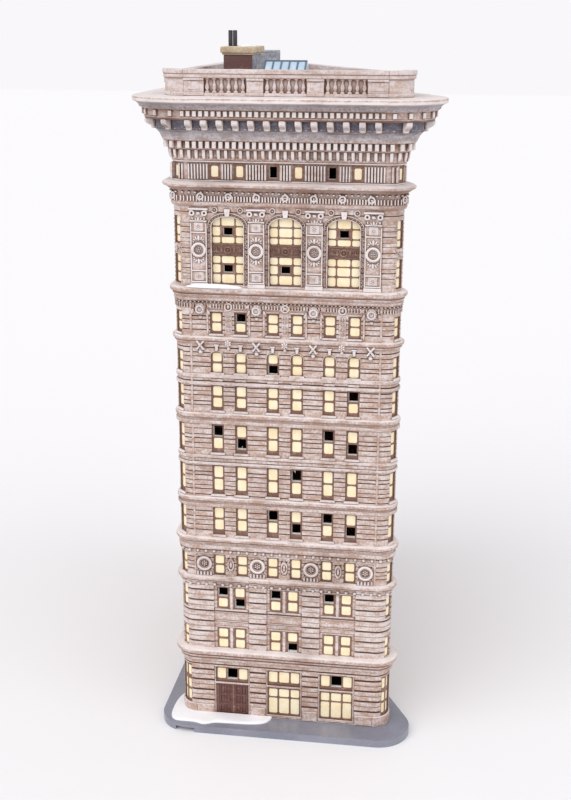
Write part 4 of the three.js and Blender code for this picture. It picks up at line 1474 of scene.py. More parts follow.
    def pilaster(self, w: float) -> Part:
        """A pilaster with rosette panels, a wreath, foliage and a flared capital."""
        p = Relief().plate(0, 257.4, w, 30.4, 0.5).plate(0, 241.2, w + 0.5, 1.9, 1.3)
        for side in (-1, 1):
            p.plate(side * (w / 2 - 0.3), 256.6, 0.6, 29.0, 1.0)
        for z, h in ((245.4, 4.4), (269.4, 4.4)):
            p.plate(0, z, w * 0.6, h, 0.8, soft=0.25).rosette(0, z, w * 0.4, 1.5, petals=6)
            p.plate(0, z - h / 2 - 0.5, w, 0.7, 1.15).plate(0, z + h / 2 + 0.5, w, 0.7, 1.15)
        p.hoop(0, 258.3, min(3.1, w * 0.38), 0.7, 1.1, steps=16).rosette(0, 258.3, w * 0.36, 1.7, petals=5)
        for side in (-1, 1):
            p.leaves(0, 258.3 + side * 5.6, w * 0.8, 3.6, 1.4, up=side)
            p.dome(side * w * 0.3, 258.3 + side * 3.9, 1.3, 1.3, 1.3, detail=1)
            p.dome(-side * w * 0.3, 258.3 + side * 3.9, 1.3, 1.3, 1.3, detail=1)
            p.dome(side * w * 0.46, 277.1, 1.9, 1.9, 1.9, detail=1)
            p.hoop(
                side * w * 0.38, 276.0, 1.0, 0.45, 1.5, steps=12,
            ).dome(side * w * 0.36, 273.4, 1.2, 2.4, 1.7, detail=1)
        p.plate(0, 275.2, w * 0.78, 6.4, 0.6, top=1.3).plate(0, 277.9, w + 1.4, 0.8, 1.9)
        p.leaves(0, 272.9, w * 0.7, 3.2, 1.6, up=1)
        return p.dome(0, 275.9, w * 0.34, 2.4, 2.2, detail=1).part()


class Attic(Storey):
    """The attic: small square windows between runs of flutes."""

    def dress(self) -> None:
        """Flutes between the windows."""
        flute = Relief().plate(0, 295.5, 0.85, 7.2, 0.5, soft=0.18).part()
        for face in FACES:
            for along in face.centres():
                half = face.pitch / 2
                count = round(2 * (half - 8.6) / 1.5)
                sides = [8.9 + (2 * (half - 8.6) - 0.6) * (i + 0.5) / count for i in range(count)]
                for x in (-2.1, -0.7, 0.7, 2.1, *sides):
                    self.wall.stamp(flute, face, along + x)
                    if along == face.centres()[0] and x > 8 and along - x > 0.6:
                        self.wall.stamp(flute, face, along - x)
        for arc in ARCS:
            for x in (0.16, 0.28, 0.72, 0.84):
                self.wall.stamp(flute, arc, arc.length * x, bent=False)
        self.band(291.0, 291.6, 0.5)
        self.band(299.9, 300.6, 0.5)


@dataclass
class GroundStorey(Storey):
    """The ground storey: rusticated piers, shop windows, a street door and curved corner windows."""

    shop: float = 19.4
    door: Rect = (-7.65, 8.55, 4.2, 23.4)
    joints: tuple[float, ...] = (12.6, 18.7, 24.8, 30.9)

    def rows(self) -> Rows:
        """Deep joints with a faint line half way between."""
        rows = [(z, 0.0) for z in (self.bottom, 4.5, 10.1, 33.3, self.top)]
        for joint in self.joints:
            for at, deep, half in ((joint, 1.0, 0.6), (joint - 3.05, 0.3, 0.3)):
                if at > 10.6:
                    rows += [(at - half, 0.001), (at - half * 0.35, deep), (at + half * 0.35, deep), (at + half, 0.001)]
        rows += [(33.9, 0.001), (34.1, 0.5), (34.5, 0.5), (34.7, 0.001)]
        return sorted(rows)

    def openings(self, face: Face, bay: int) -> list[Rect]:
        """A shop window or the street door's bay."""
        return [(-self.shop / 2, self.shop / 2, 4.5, 33.3)]

    def corner_openings(self, arc: Arc) -> list[Rect]:
        """One wide curved window at a front corner, two at the prow."""
        return [(x - self.bow / 2, x + self.bow / 2, 10.1, 33.3) for x in columns(arc)]

    @property
    def bow(self) -> float:
        """Width of a curved window."""
        return 7.6

    def shop_window(self, pierced_door: bool) -> Window:
        """The shop's three columns of panes under a transom; the door's bay has the transom only."""
        across = ((-8.2, -3.5), (-2.75, 2.75), (3.5, 8.2))
        tiers = ((25.6, 31.9),) if pierced_door else ((25.6, 31.9), (17.0, 21.7), (7.0, 16.3))
        panes = [(a, b, c, d) for c, d in tiers for a, b in across]
        if pierced_door:
            panes.append(self.door)
        return Window(self.shop, 4.5, 33.3, tuple(panes), back=1.0)

    def hang(self) -> None:
        """Hangs the shop windows, the door's transom and the curved windows."""
        for face in FACES:
            for bay, along in enumerate(face.centres()):
                if face is FRONT and bay == 0:
                    self.glazing.hang(self.shop_window(True), face, along, frozenset({1, 3}))
                else:
                    cut = {1} if face is FRONT and bay == 2 else set()
                    self.glazing.hang(self.shop_window(False), face, along, frozenset(cut))
        side = self.bow / 2
        cols = ((-side + 0.8, -0.45), (0.45, side - 0.8))
        bow = Window(
            self.bow, 10.1, 33.3,
            tuple((a, b, c, d) for c, d in ((26.0, 31.9), (18.4, 23.6), (11.4, 17.2)) for a, b in cols)
        )
        for arc in ARCS:
            for x in columns(arc):
                self.glazing.hang(bow, arc, x)

    def dress(self) -> None:
        """Base blocks, pale lintel bars, sills and mullions."""
        for face in FACES:
            edge = -0.0
            for bay, along in enumerate(face.centres()):
                trim = Relief().plate(0, 23.5, self.shop - 0.4, 1.0, 0.05, back=1.6)
                for side in (-1, 1):
                    trim.plate(side * (self.shop / 2 - 0.5), 19.0, 0.9, 28.6, -0.1, back=1.6)
                trim.plate(0, 33.6, self.shop + 0.8, 0.9, 0.45)
                if not (face is FRONT and bay == 0):
                    trim.plate(0, 5.5, self.shop - 0.5, 1.6, 0.1, back=1.6)
                self.wall.stamp(trim.part(), face, along)
                block_to = along - self.shop / 2 - 0.4
                block = Relief().plate((edge + block_to) / 2, 7.15, block_to - edge, 5.7, 0.55, soft=0.3)
                self.wall.stamp(block.part(), face, 0)
                edge = along + self.shop / 2 + 0.4
            block = Relief().plate((edge + face.length) / 2, 7.15, face.length - edge, 5.7, 0.55, soft=0.3)
            self.wall.stamp(block.part(), face, 0)
        self.wall.moulding(
            [(-0.5, 4.25), (0.5, 4.25), (0.55, 9.7), (0.2, 10.0), (-0.5, 10.0)], [PLAN["prow"]], soft=0.15,
        )
        for arc in ARCS[::2]:
            self.wall.moulding([(-0.5, 4.25), (0.5, 4.25), (0.55, 9.7), (0.2, 10.0), (-0.5, 10.0)], [arc], soft=0.15)

    def leaf(self, side: int) -> None:
        """One leaf of the street door: two rows of three sunk panels, and a knob by its meeting edge."""
        left, right, _, top = self.door
        middle = (left + right) / 2
        far = (left if side < 0 else right) - side * 0.25
        near = middle + side * 0.65
        a, b = min(far, near), max(far, near)
        along = FRONT.centres()[0]
        bm = grid(
            spaced([a, b, *(a + (b - a) * t for t in (0.14, 0.44, 0.56, 0.86))], 9),
            [(z, 0.0) for z in (4.35, 5.6, 9.8, 10.9, 15.4, 16.5, 21.4, top - 0.3)],
            lambda x, z, s: -1.0,
        )
        cells = [
            f for f in bm.faces
            if any(p < (f.calc_center_median().x - a) / (b - a) < q for p, q in ((0.14, 0.44), (0.56, 0.86)))
            and any(p < f.calc_center_median().z < q for p, q in ((5.6, 9.8), (10.9, 15.4), (16.5, 21.4)))
        ]
        ops.inset_individual(bm, faces=cells, thickness=0.18, depth=-0.35, use_even_offset=True)
        ops.inset_individual(bm, faces=cells, thickness=0.35, depth=0.22, use_even_offset=True)
        made = ops.extrude_face_region(bm, geom=bm.faces[:], use_keep_orig=True)["geom"]
        for v in points(made):
            v.co.y = 2.4
        ops.recalc_face_normals(bm, faces=bm.faces)
        name = "street_door_right" if side > 0 else "street_door_left"
        door = Casting(name + "_leaf")
        door.stamp(Part(bm), FRONT, along)
        knob = Relief().dome(near + side * 0.55, 13.1, 0.8, 0.8, 0.5, base=-1.0, detail=1)
        door.stamp(knob.part(), FRONT, along)
        door.finish([MAROON.material()], "maroon_paint", name, wobble=0.03)

    def post(self) -> None:
        """The door frame's middle post."""
        middle = (self.door[0] + self.door[1]) / 2
        post = Relief().plate(middle, 13.8, 1.1, 18.9, -0.8, back=2.2).part()
        self.glazing.frames.stamp(post, FRONT, FRONT.centres()[0])

    def make(self) -> None:
        """Builds, dresses and finishes, doors included."""
        self.build()
        self.dress()
        self.post()
        self.finish()
        for side in (-1, 1):
            self.leaf(side)


# ---------------------------------------------------------------- ledges, cornice and parapet
@dataclass
class Ledge:
    """A moulded ledge round the tower, with an optional row of small ornament along it."""

    name: str
    foot: float
    top: float
    profile: tuple[tuple[float, float], ...]  # (out, share of the height) from the foot upwards
    ornament: Part | None = None
    pitch: float = 2.9
    soft: float = 0.22
    roundel: Part | None = None

    def make(self) -> None:
        """Sweeps the ledge, lays its ornament and finishes it."""
        rise = self.top - self.foot
        casting = Casting(self.name + "_cast")
        points = [(-WALL, self.foot), *((out, self.foot + rise * t) for out, t in self.profile), (-WALL, self.top)]
        casting.moulding(points, soft=self.soft, step=5.0)
        if self.ornament:
            casting.row(self.ornament, self.pitch)
        if self.roundel:
            casting.row(self.roundel, BAY / 2)
        heights = [self.foot + rise * t for _, t in self.profile]
        outs = [out for out, _ in self.profile]
        casting.finish(
            [TRIM.material()], "stone_trim", self.name, wobble=0.11,
            lift=lambda z: np.where(z > self.top - 0.03 * rise, -1.0 - WALL, np.interp(z, heights, outs)),
        )


@dataclass
class Cornice:
    """The great cornice: corbels, dentils, a cove, modillions, a block row and a crown."""

    foot: float = 300.7

    def make(self) -> None:
        """Builds the cornice."""
        c = Casting("main_cornice_cast")
        c.moulding(
            [
                (-WALL, self.foot + 0.02), (0.3, self.foot + 0.02), (0.6, 301.1), (0.6, 305.6), (2.3, 306.0),
                (2.5, 306.5),
                (2.2, 306.7), (2.2, 310.0), (4.7, 310.1), (5.1, 310.9), (5.5, 311.9), (6.2, 313.2), (7.4, 314.6),
                (8.2, 315.2), (8.2, 319.8), (12.6, 320.1), (13.0, 321.0), (13.3, 321.5), (12.9, 321.7), (12.9, 324.6),
                (14.3, 324.7), (14.8, 325.1), (15.4, 326.1), (16.7, 327.4), (17.8, 327.9), (18.5, 328.2), (18.5, 329.9),
                (18.1, 330.4), (-WALL, 330.45),
            ],
            soft=0.16, step=4.5,
        )
        c.bm.normal_update()
        for f in c.bm.faces:
            m = f.calc_center_median()
            out = stand(m)
            # Faces behind and under the modillions take the darker grey and the coves the lighter grey: painted shade
            # under the overhang.
            if 315.1 < m.z < 320.4 and 7.5 < out < 12.7:
                f.material_index = 1
            elif 310.9 < m.z < 315.4 and out > 0 or 325.3 < m.z < 328.0 and out > 14.5:
                f.material_index = 2
        corbel = Relief().prism(
            [(0.3, 301.3), (1.0, 301.2), (1.9, 303.2), (2.2, 305.8), (0.3, 305.8)], 0, 1.5, soft=0.2,
        )
        corbel.dome(0, 302.1, 1.4, 1.4, 0.9, base=0.7, detail=1)
        c.row(corbel.part(), 3.5)
        for face in FACES:
            count = round(face.length / 3.5)
            for i in range(1, count):
                c.stamp(
                    Relief().dome(0, 302.0, 1.1, 1.1, 0.9, base=0.5, detail=1).part(), face, face.length * i / count
                )
        c.row(Relief().plate(0, 308.3, 1.9, 3.3, 4.3, back=-2.0, soft=0.22).part(), 3.15)
        c.row(Relief().dome(0, 316.0, 1.3, 0.9, 0.8, base=8.0, detail=1).part(), 3.5)
        modillion = Relief().prism(
            [(8.0, 315.3), (9.2, 315.2), (10.0, 316.6), (11.2, 317.0), (12.7, 318.0), (13.0, 320.2), (8.0, 320.2)], 0,
            2.9, soft=0.35,
        )
        modillion.dome(0, 315.9, 3.3, 1.7, 1.1, base=9.0, detail=1).dome(0, 318.9, 3.4, 1.6, 0.8, base=12.4, detail=1)
        c.row(modillion.part(), 7.2)
        c.row(Relief().plate(0, 323.1, 1.8, 2.6, 14.1, back=-12.7, soft=0.25).part(), 2.9)
        c.row(Relief().dome(0, 325.7, 1.1, 0.8, 0.6, base=15.0, detail=1).part(), 2.2)
        heights = (
            300.7, 305.8, 306.0, 306.6, 306.8, 310.0, 310.1, 313.2, 315.2, 319.9, 320.1, 321.6, 321.8, 324.6, 324.7,
            330.5,
        )
        outs = (0.5, 0.7, 2.3, 2.5, 2.2, 2.3, 4.6, 6.2, 8.2, 8.2, 13.0, 13.3, 12.9, 12.9, 14.3, 18.5)
        c.finish(
            [TRIM.material(), SOFFIT_PAINTED_SHADE.material(), COVE_PAINTED_SHADE.material()], "stone_trim", "main_cornice",
            wobble=0.12, lift=lambda z: np.where(z > 330.2, -1.0 - WALL, np.interp(z, heights, outs)),
        )


@dataclass
class Parapet:
    """The parapet: blind balustrades between plain corner blocks, under a two-step coping."""

    foot: float = 330.5
    top: float = 342.4
    drop: float = 1.6
    outer: float = 3.0
    inner: float = -2.0

    def coping(self, top: float) -> list[tuple[float, float]]:
        """The profile of the coping and the wall behind the balusters."""
        return [
            (self.inner, top - 4), (self.outer, top - 4), (self.outer + 0.55, top - 3.7),
            (self.outer + 0.55, top - 2.3),
            (self.outer + 0.3, top - 2.1), (self.outer + 0.9, top - 1.9), (self.outer + 0.9, top - 0.1),
            (self.inner, top - 0.05),
        ]

    def run(self, name: str) -> None:
        """One face's balustrade."""
        face = PLAN[name]
        top = self.top - (0 if face is FRONT else self.drop)
        c = Casting(name + "_parapet_cast")
        c.moulding(self.coping(top), [face], soft=0.2, trim=0.15, step=5)
        back = self.outer - 1.7
        c.moulding(
            [(self.inner, self.foot + 0.05), (back, self.foot + 0.05), (back, top - 3.9), (self.inner, top - 3.9)],
            [face], trim=0.15, step=9,
        )
        c.moulding(
            [
                (self.inner + 1, self.foot + 0.05), (self.outer - 0.1, self.foot + 0.05),
                (self.outer - 0.1, self.foot + 1.4), (self.inner + 1, self.foot + 1.6),
            ],
            [face], soft=0.15, trim=0.15, step=9,
        )
        height = top - 4 - self.foot - 1.4
        shape = [
            (0, 0), (1.2, 0), (1.2, 0.1), (0.6, 0.16), (1.0, 0.3), (1.1, 0.42), (0.5, 0.7), (0.55, 0.86), (1.1, 0.93),
            (1.1, 1), (0, 1),
        ]
        baluster = Relief().lathe(
            0, self.foot + 1.4, [(r, t * height) for r, t in shape], self.outer - 1.15, steps=8
        ).part()
        middle = (self.foot + 1.4 + top - 4) / 2
        for along in face.centres():
            count = round(0.72 * face.pitch / 3.4)
            for i in range(count):
                c.stamp(baluster, face, along + (i - (count - 1) / 2) * 0.72 * face.pitch / count)
        ends = [0.15, *(face.margin + face.pitch * i for i in range(1, face.bays)), face.length - 0.15]
        for i, along in enumerate(ends):
            w = 0.28 * face.pitch
            if i in (0, len(ends) - 1):
                w = w / 2 + face.margin
                along += w / 2 if i == 0 else -w / 2
            pier = Relief().plate(along, middle, w, height + 0.4, self.outer - 0.05, back=-self.inner - 0.2, soft=0.2)
            pier.plate(along, middle, w * 0.6, height * 0.62, self.outer + 0.15, back=-2, soft=0.2)
            pier.plate(along, self.foot + 0.9, w + 0.2, 1.5, self.outer + 0.45, back=-2, soft=0.2)
            pier.plate(along, top - 4.5, w + 0.2, 1.1, self.outer + 0.6, back=-2, soft=0.2)
            c.stamp(pier.part(), face, 0)
        c.finish([PARAPET.material()], "parapet_stone", name + "_parapet", wobble=0.1)

    def block(self, section: str, node: str) -> None:
        """A plain curved corner block."""
        top = self.top - (self.drop if section == "prow" else 0)
        c = Casting(node + "_cast")
        c.moulding(self.coping(top), [PLAN[section]], soft=0.2)
        c.moulding(
            [
                (self.inner, self.foot + 0.05), (self.outer + 0.1, self.foot + 0.05),
                (self.outer + 0.1, self.foot + 1.2), (self.outer - 0.3, self.foot + 1.5),
                (self.outer - 0.3, top - 3.9), (self.inner, top - 3.9),
            ],
            [PLAN[section]], soft=0.15,
        )
        c.finish([PARAPET.material()], "parapet_stone", node, wobble=0.1)

    def make(self) -> None:
        """Builds the runs and the corner blocks."""
        for name in ("front", "right", "left"):
            self.run(name)
        self.block("left_corner", "left_corner_block")
        self.block("right_corner", "right_corner_block")
        self.block("prow", "prow_block")


# ---------------------------------------------------------------- roof, plinth and snow
def block(casting: Casting, low: Sequence[float], high: Sequence[float], soft: float = 0.3, segments: int = 2) -> None:
    """Adds a softened block between two corners of the plan."""
    bm = bmesh.new()
    ops.create_cube(bm, size=1)
    size = [b - a for a, b in zip(low, high, strict=True)]
    middle = [(a + b) / 2 for a, b in zip(low, high, strict=True)]
    ops.transform(bm, verts=bm.verts, matrix=Matrix.Translation(middle) @ Matrix.Diagonal((*size, 1)))
    soften(bm, bm.edges[:], soft, segments)
    casting.absorb(bm)


def plan_box(node: str) -> tuple[Vector, Vector]:
    """A CAD node's box in the plan's millimetres."""
    low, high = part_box(node)
    shift = Vector((0, DEPTH / 2, 0))
    return Vector(low) / MM + shift, Vector(high) / MM + shift


@dataclass
class Roof:
    """The stair bulkhead with its cap, the rear bulkhead, the skylight and the flues."""

    bars: int = 5

    def bulkheads(self) -> None:
        """The painted stair bulkhead, maroon with grey faces to the right and the back, its cap, and the plain rear
        one.
        """
        low, high = plan_box("stair_bulkhead")
        c = Casting("stair_bulkhead_box")
        block(c, low, high, 0.35)
        c.bm.normal_update()
        for f in c.bm.faces:
            if f.normal.x > 0.7 or f.normal.y > 0.7:
                f.material_index = 1
        c.finish([MAROON.material(), ROOF_GREY.material()], "maroon_paint", "stair_bulkhead", wobble=0.08)
        low, high = plan_box("bulkhead_cap")
        c = Casting("bulkhead_cap_cast")
        block(c, (low.x + 0.9, low.y + 0.9, low.z + 0.02), (high.x - 0.9, high.y - 0.9, low.z + 1.2), 0.25)
        block(c, (low.x + 0.05, low.y + 0.05, low.z + 1.0), (high.x - 0.05, high.y - 0.05, high.z - 0.02), 0.45)
        c.finish([CAP_TAN.material()], "parapet_stone", "bulkhead_cap", wobble=0.1)
        low, high = plan_box("rear_bulkhead")
        c = Casting("rear_bulkhead_box")
        block(c, low, (high.x, high.y, high.z - 1.2), 0.3)
        block(c, (low.x - 0.0, low.y, high.z - 1.6), (high.x, high.y, high.z - 0.02), 0.4)
        c.finish([ROOF_GREY.material()], "roof_grey", "rear_bulkhead", wobble=0.08)

    def skylight(self) -> None:
        """The gabled skylight: its curb, its pale lights and the bars over them."""
        low, high = plan_box("skylight_curb")
        c = Casting("skylight_curb_cast")
        block(c, low, high, 0.35)
        c.finish([ROOF_GREY.material()], "roof_grey", "skylight_curb", wobble=0.06)
        low, high = plan_box("skylight_lights")
        bm = bmesh.new()
        middle = (low.y + high.y) / 2
        corners = [
            bm.verts.new(p) for p in (
                (low.x + 0.1, low.y + 0.3, low.z + 0.02), (low.x + 0.1, high.y - 0.3, low.z + 0.02),
                (low.x + 0.1, middle, high.z - 0.5),
            )
        ]
        end = bm.faces.new(corners)
        made = ops.extrude_face_region(bm, geom=[end], use_keep_orig=True)["geom"]
        fresh = points(made)
        ops.translate(bm, verts=fresh, vec=(high.x - low.x - 0.2, 0, 0))
        ops.recalc_face_normals(bm, faces=bm.faces)
        lights = Casting("skylight_lights_glazed")
        lights.absorb(bm)
        slope = math.atan2(high.z - low.z - 0.4, (high.y - low.y) / 2 - 0.3)
        length = math.hypot(high.z - low.z - 0.4, (high.y - low.y) / 2 - 0.3)
        for side in (-1, 1):
            for i in range(self.bars + 1):
                bar = bmesh.new()
                ops.create_cube(bar, size=1)
                x = low.x + 0.6 + (high.x - low.x - 1.2) * i / self.bars
                at = Vector((x, middle + side * (high.y - low.y) / 4, (low.z + high.z) / 2 - 0.12))
                turn = Matrix.Rotation(-side * slope, 4, "X")
                ops.transform(
                    bar, verts=bar.verts,
                    matrix=Matrix.Translation(at) @ turn @ Matrix.Diagonal((0.8, length - 0.5, 0.5, 1)),
                )
                soften(bar, bar.edges[:], 0.1)
                for f in bar.faces:
                    f.material_index = 1
                lights.absorb(bar)
        ridge = bmesh.new()
        ops.create_cube(ridge, size=1)
        ops.transform(
            ridge, verts=ridge.verts,
            matrix=Matrix.Translation(
                ((low.x + high.x) / 2, middle, high.z - 0.4),
            ) @ Matrix.Diagonal((high.x - low.x - 0.2, 1.1, 0.7, 1)),
        )
        for f in ridge.faces:
            f.material_index = 1
        lights.absorb(ridge)
        lights.finish([SKY_PANE.material(), SKY_BAR.material()], "pale_light_paint", "skylight_lights", wobble=0.0)

    def flues(self) -> None:
        """Two capped flues."""
        for node in ("flue_left", "flue_right"):
            low, high = plan_box(node)
            r = (high.x - low.x) / 2
            turned = Relief().lathe(
                (low.x + high.x) / 2, low.z,
                [
                    (0, 0), (r - 0.03, 0), (r - 0.03, high.z - low.z - 0.3), (r - 0.2, high.z - low.z - 0.05),
                    (r - 0.45, high.z - low.z - 0.05), (r - 0.5, high.z - low.z - 1.2), (0, high.z - low.z - 1.3),
                ],
                0.0, steps=16,
            )
            c = Casting(node + "_pipe")
            part = turned.part()
            c.stamp(part, Face(0, (low.y + high.y) / 2, 0, 1, 1, 1), 0)
            c.finish([FLUE_BLACK.material()], "flue_black", node, wobble=0.0)

    def deck(self) -> None:
        """The grey deck keeps its CAD shape."""
        dress_node("roof_deck", ROOF_GREY.material())

    def make(self) -> None:
        """Builds everything on the roof."""
        self.deck()
        self.bulkheads()
        self.skylight()
        self.flues()


def dress_node(node: str, material: bpy.types.Material) -> None:
    """Gives a CAD node that keeps its shape a better material."""
    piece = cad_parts[node]
    piece = piece if isinstance(piece, bpy.types.Object) else bpy.data.objects[node]
    piece.data.materials.clear()
    piece.data.materials.append(material)
    LOG.info("%s: CAD shape, %s", node, material.name)


@dataclass
class Snow:
    """Snow: a drift on the plinth, a heap along a ledge and a cap on the bulkhead."""

    def heap(self, node: str, detail: float, seed: float) -> None:
        """A rounded heap that fills the CAD node's box."""
        low, high = plan_box(node)
        c = Casting(node + "_heap")
        bm = bmesh.new()
        ops.create_uvsphere(bm, u_segments=48, v_segments=20, radius=1)
        size = (high - low) / 2
        middle = (high + low) / 2
        for v in bm.verts:
            v.co *= 0.93 + 0.07 * noise.noise(v.co * detail + Vector((seed, 0, 0)))
        ops.transform(
            bm, verts=bm.verts,
            matrix=Matrix.Translation((middle.x, middle.y, low.z)) @ Matrix.Diagonal((size.x, size.y, 2 * size.z, 1))
        )
        ops.bisect_plane(
            bm, geom=bm.verts[:] + bm.edges[:] + bm.faces[:], plane_co=(0, 0, low.z + 0.01), plane_no=(0, 0, -1),
            clear_outer=True,
        )
        ops.holes_fill(bm, edges=[e for e in bm.edges if e.is_boundary], sides=0)
        ops.recalc_face_normals(bm, faces=bm.faces)
        c.absorb(bm)
        c.finish([SNOW.material()], "snow_white", node, wobble=0.05, angle=80)

    def drift(self) -> None:
        """The drift: its outline run along the wall, rounded over at its open edge."""
        turns = [(-56, 18)]
        for a, b, c in (
            ((-59.5, 20), (-61.6, 10), (-61.2, 0)), ((-61, -6), (-59.5, -9.4), (-56, -9.6)),
            ((-50, -9.8), (-47, -9.4), (-43.5, -11)), ((-40, -12.2), (-39, -9.6), (-35, -8.8)),
            ((-26, -8.2), (-20, -8.6), (-14, -7.4)), ((-9, -6.4), (-7, -4), (-6.5, -0.3)),
        ):
            last = turns[-1]
            for i in range(1, 9):
                t = i / 8
                turns.append(tuple(
                    (1 - t) ** 3 * last[k] + 3 * t * (1 - t) ** 2 * a[k] + 3 * t * t * (1 - t) * b[k] + t ** 3 * c[k]
                    for k in (0, 1)
                ))
        corner = PLAN["left_corner"]
        wall = [
            (corner.x + 8.6 * math.cos(a), corner.y + 8.6 * math.sin(a)) for a in np.linspace(1.5 * math.pi, math.pi, 9)
        ]
        wall.append((-56, 17))
        bm = bmesh.new()
        chain = [bm.verts.new((x, y, 4.22)) for x, y in turns]
        hem = [bm.verts.new((x, y, 5.45)) for x, y in wall]
        foot = [bm.verts.new((x, y, 4.22)) for x, y in wall]
        bm.faces.new(chain + foot)
        for a, b, c, d in zip(hem, hem[1:], foot[1:], foot, strict=False):
            bm.faces.new((a, b, c, d))
        inward = []
        for i, v in enumerate(chain):
            run = chain[min(i + 1, len(chain) - 1)].co - chain[max(i - 1, 0)].co
            side = Vector((-run.y, run.x, 0)).normalized()
            inward.append(side * (0.0 if i in (0, len(chain) - 1) else 1.0))
        low = chain
        for step, lift in ((0.08, 0.45), (0.28, 0.33), (0.5, 0.25), (0.8, 0.17)):
            high = [bm.verts.new(v.co + n * step + Vector((0, 0, lift))) for v, n in zip(low, inward, strict=True)]
            for a, b, c, d in zip(low, low[1:], high[1:], high, strict=False):
                bm.faces.new((a, b, c, d))
            low = high
        bm.faces.new(low + hem)
        ops.holes_fill(bm, edges=[e for e in bm.edges if e.is_boundary], sides=0)
        ops.recalc_face_normals(bm, faces=bm.faces)
        ops.triangulate(bm, faces=[f for f in bm.faces if len(f.verts) > 8])
        c = Casting("ground_snow_drift_heap")
        c.absorb(bm)
        c.finish([SNOW.material()], "snow_white", "ground_snow_drift", wobble=0.05, angle=80)

    def make(self) -> None:
        """Lays the snow."""
        self.drift()
        self.heap("ledge_snow", 3.0, 2.0)
        self.heap("cap_snow", 2.4, 7.0)


@dataclass
class Fittings:
    """The glazed plinth and the lamp from below, which keep their CAD shapes."""

    finishes: dict = field(default_factory=lambda: {
        "plinth": PLINTH_BLUE, "lamp_flange": PLASTIC, "lamp_socket": PLASTIC, "socket_screw_shell": BRASS,
        "centre_contact": BRASS, "bulb_cap": BRASS, "spring_clip_right": STEEL, "spring_clip_left": STEEL,
        "bulb_stem": STEEL, "bulb_glass": GLASS,
    })

    def make(self) -> None:
        """Dresses each of them."""
        for node, finish in self.finishes.items():
            dress_node(node, finish.material())


# ---------------------------------------------------------------- studio
@dataclass
class Studio:
    """A pale floor, soft lights and the camera."""

    lens: float = 54.95
    fill: float = 0.7
    place: tuple[float, float, float] = (0.08266, -0.66726, 0.36336)
    right: tuple[float, float, float] = (0.98964, 0.14352, 0.00354)
    up: tuple[float, float, float] = (-0.04583, 0.29248, 0.95517)
    back: tuple[float, float, float] = (0.13606, -0.94544, 0.29603)

    def floor(self) -> None:
        """A wide plain floor."""
        bm = bmesh.new()
        ops.create_grid(bm, x_segments=1, y_segments=1, size=6)
        mesh = bpy.data.meshes.new("studio_floor")
        bm.to_mesh(mesh)
        bm.free()
        made = bpy.data.objects.new("studio_floor", mesh)
        bpy.context.scene.collection.objects.link(made)
        paper = bpy.data.materials.new("studio_paper")
        paper.use_nodes = True
        n = Nodes(paper.node_tree)
        skin = n.add(
            "BsdfPrincipled", {"Base Color": (0.93, 0.926, 0.935), "Roughness": 0.95, "Specular IOR Level": 0.0},
        )
        n.add("OutputMaterial", {"Surface": skin.outputs[0]})
        mesh.materials.append(paper)

    def light(self, name: str, place: Sequence[float], spread: float, power: float) -> None:
        """A broad soft light from a direction."""
        lamp = bpy.data.lights.new(name, "SUN")
        lamp.angle, lamp.energy = math.radians(spread), power
        made = bpy.data.objects.new(name, lamp)
        made.rotation_euler = Vector(place).to_track_quat("Z", "Y").to_euler()
        bpy.context.scene.collection.objects.link(made)

    def make(self) -> None:
        """Sets the world, the lights and the camera."""
        scene = bpy.context.scene
        scene.view_settings.view_transform = "Standard"
        world = bpy.data.worlds.new("studio_world")
        scene.world = world
        world.use_nodes = True
        n = Nodes(world.node_tree)
        white = (0.945, 0.93, 0.955)
        seen = n.add("Background", {"Color": white, "Strength": 1.0})
        given = n.add("Background", {"Color": white, "Strength": self.fill})
        sky = n.add(
            "MixShader", {0: n.add("LightPath").outputs["Is Camera Ray"], 1: given.outputs[0], 2: seen.outputs[0]},
        )
        n.add("OutputWorld", {"Surface": sky.outputs[0]})
        self.floor()
        self.light("key_light", (-0.5, -0.8, 0.95), 60.0, 1.25)
        self.light("side_light", (0.9, -0.6, 0.8), 60.0, 0.55)
        data = bpy.data.cameras.new("camera")
        data.lens, data.sensor_height, data.sensor_width, data.sensor_fit = self.lens, 36.0, 36.0, "VERTICAL"
        data.clip_start, data.clip_end = 0.01, 50.0
        camera = bpy.data.objects.new("camera", data)
        turn = Matrix((self.right, self.up, self.back)).transposed().to_4x4()
        camera.matrix_world = Matrix.Translation(self.place) @ turn
        scene.collection.objects.link(camera)
        scene.camera = camera


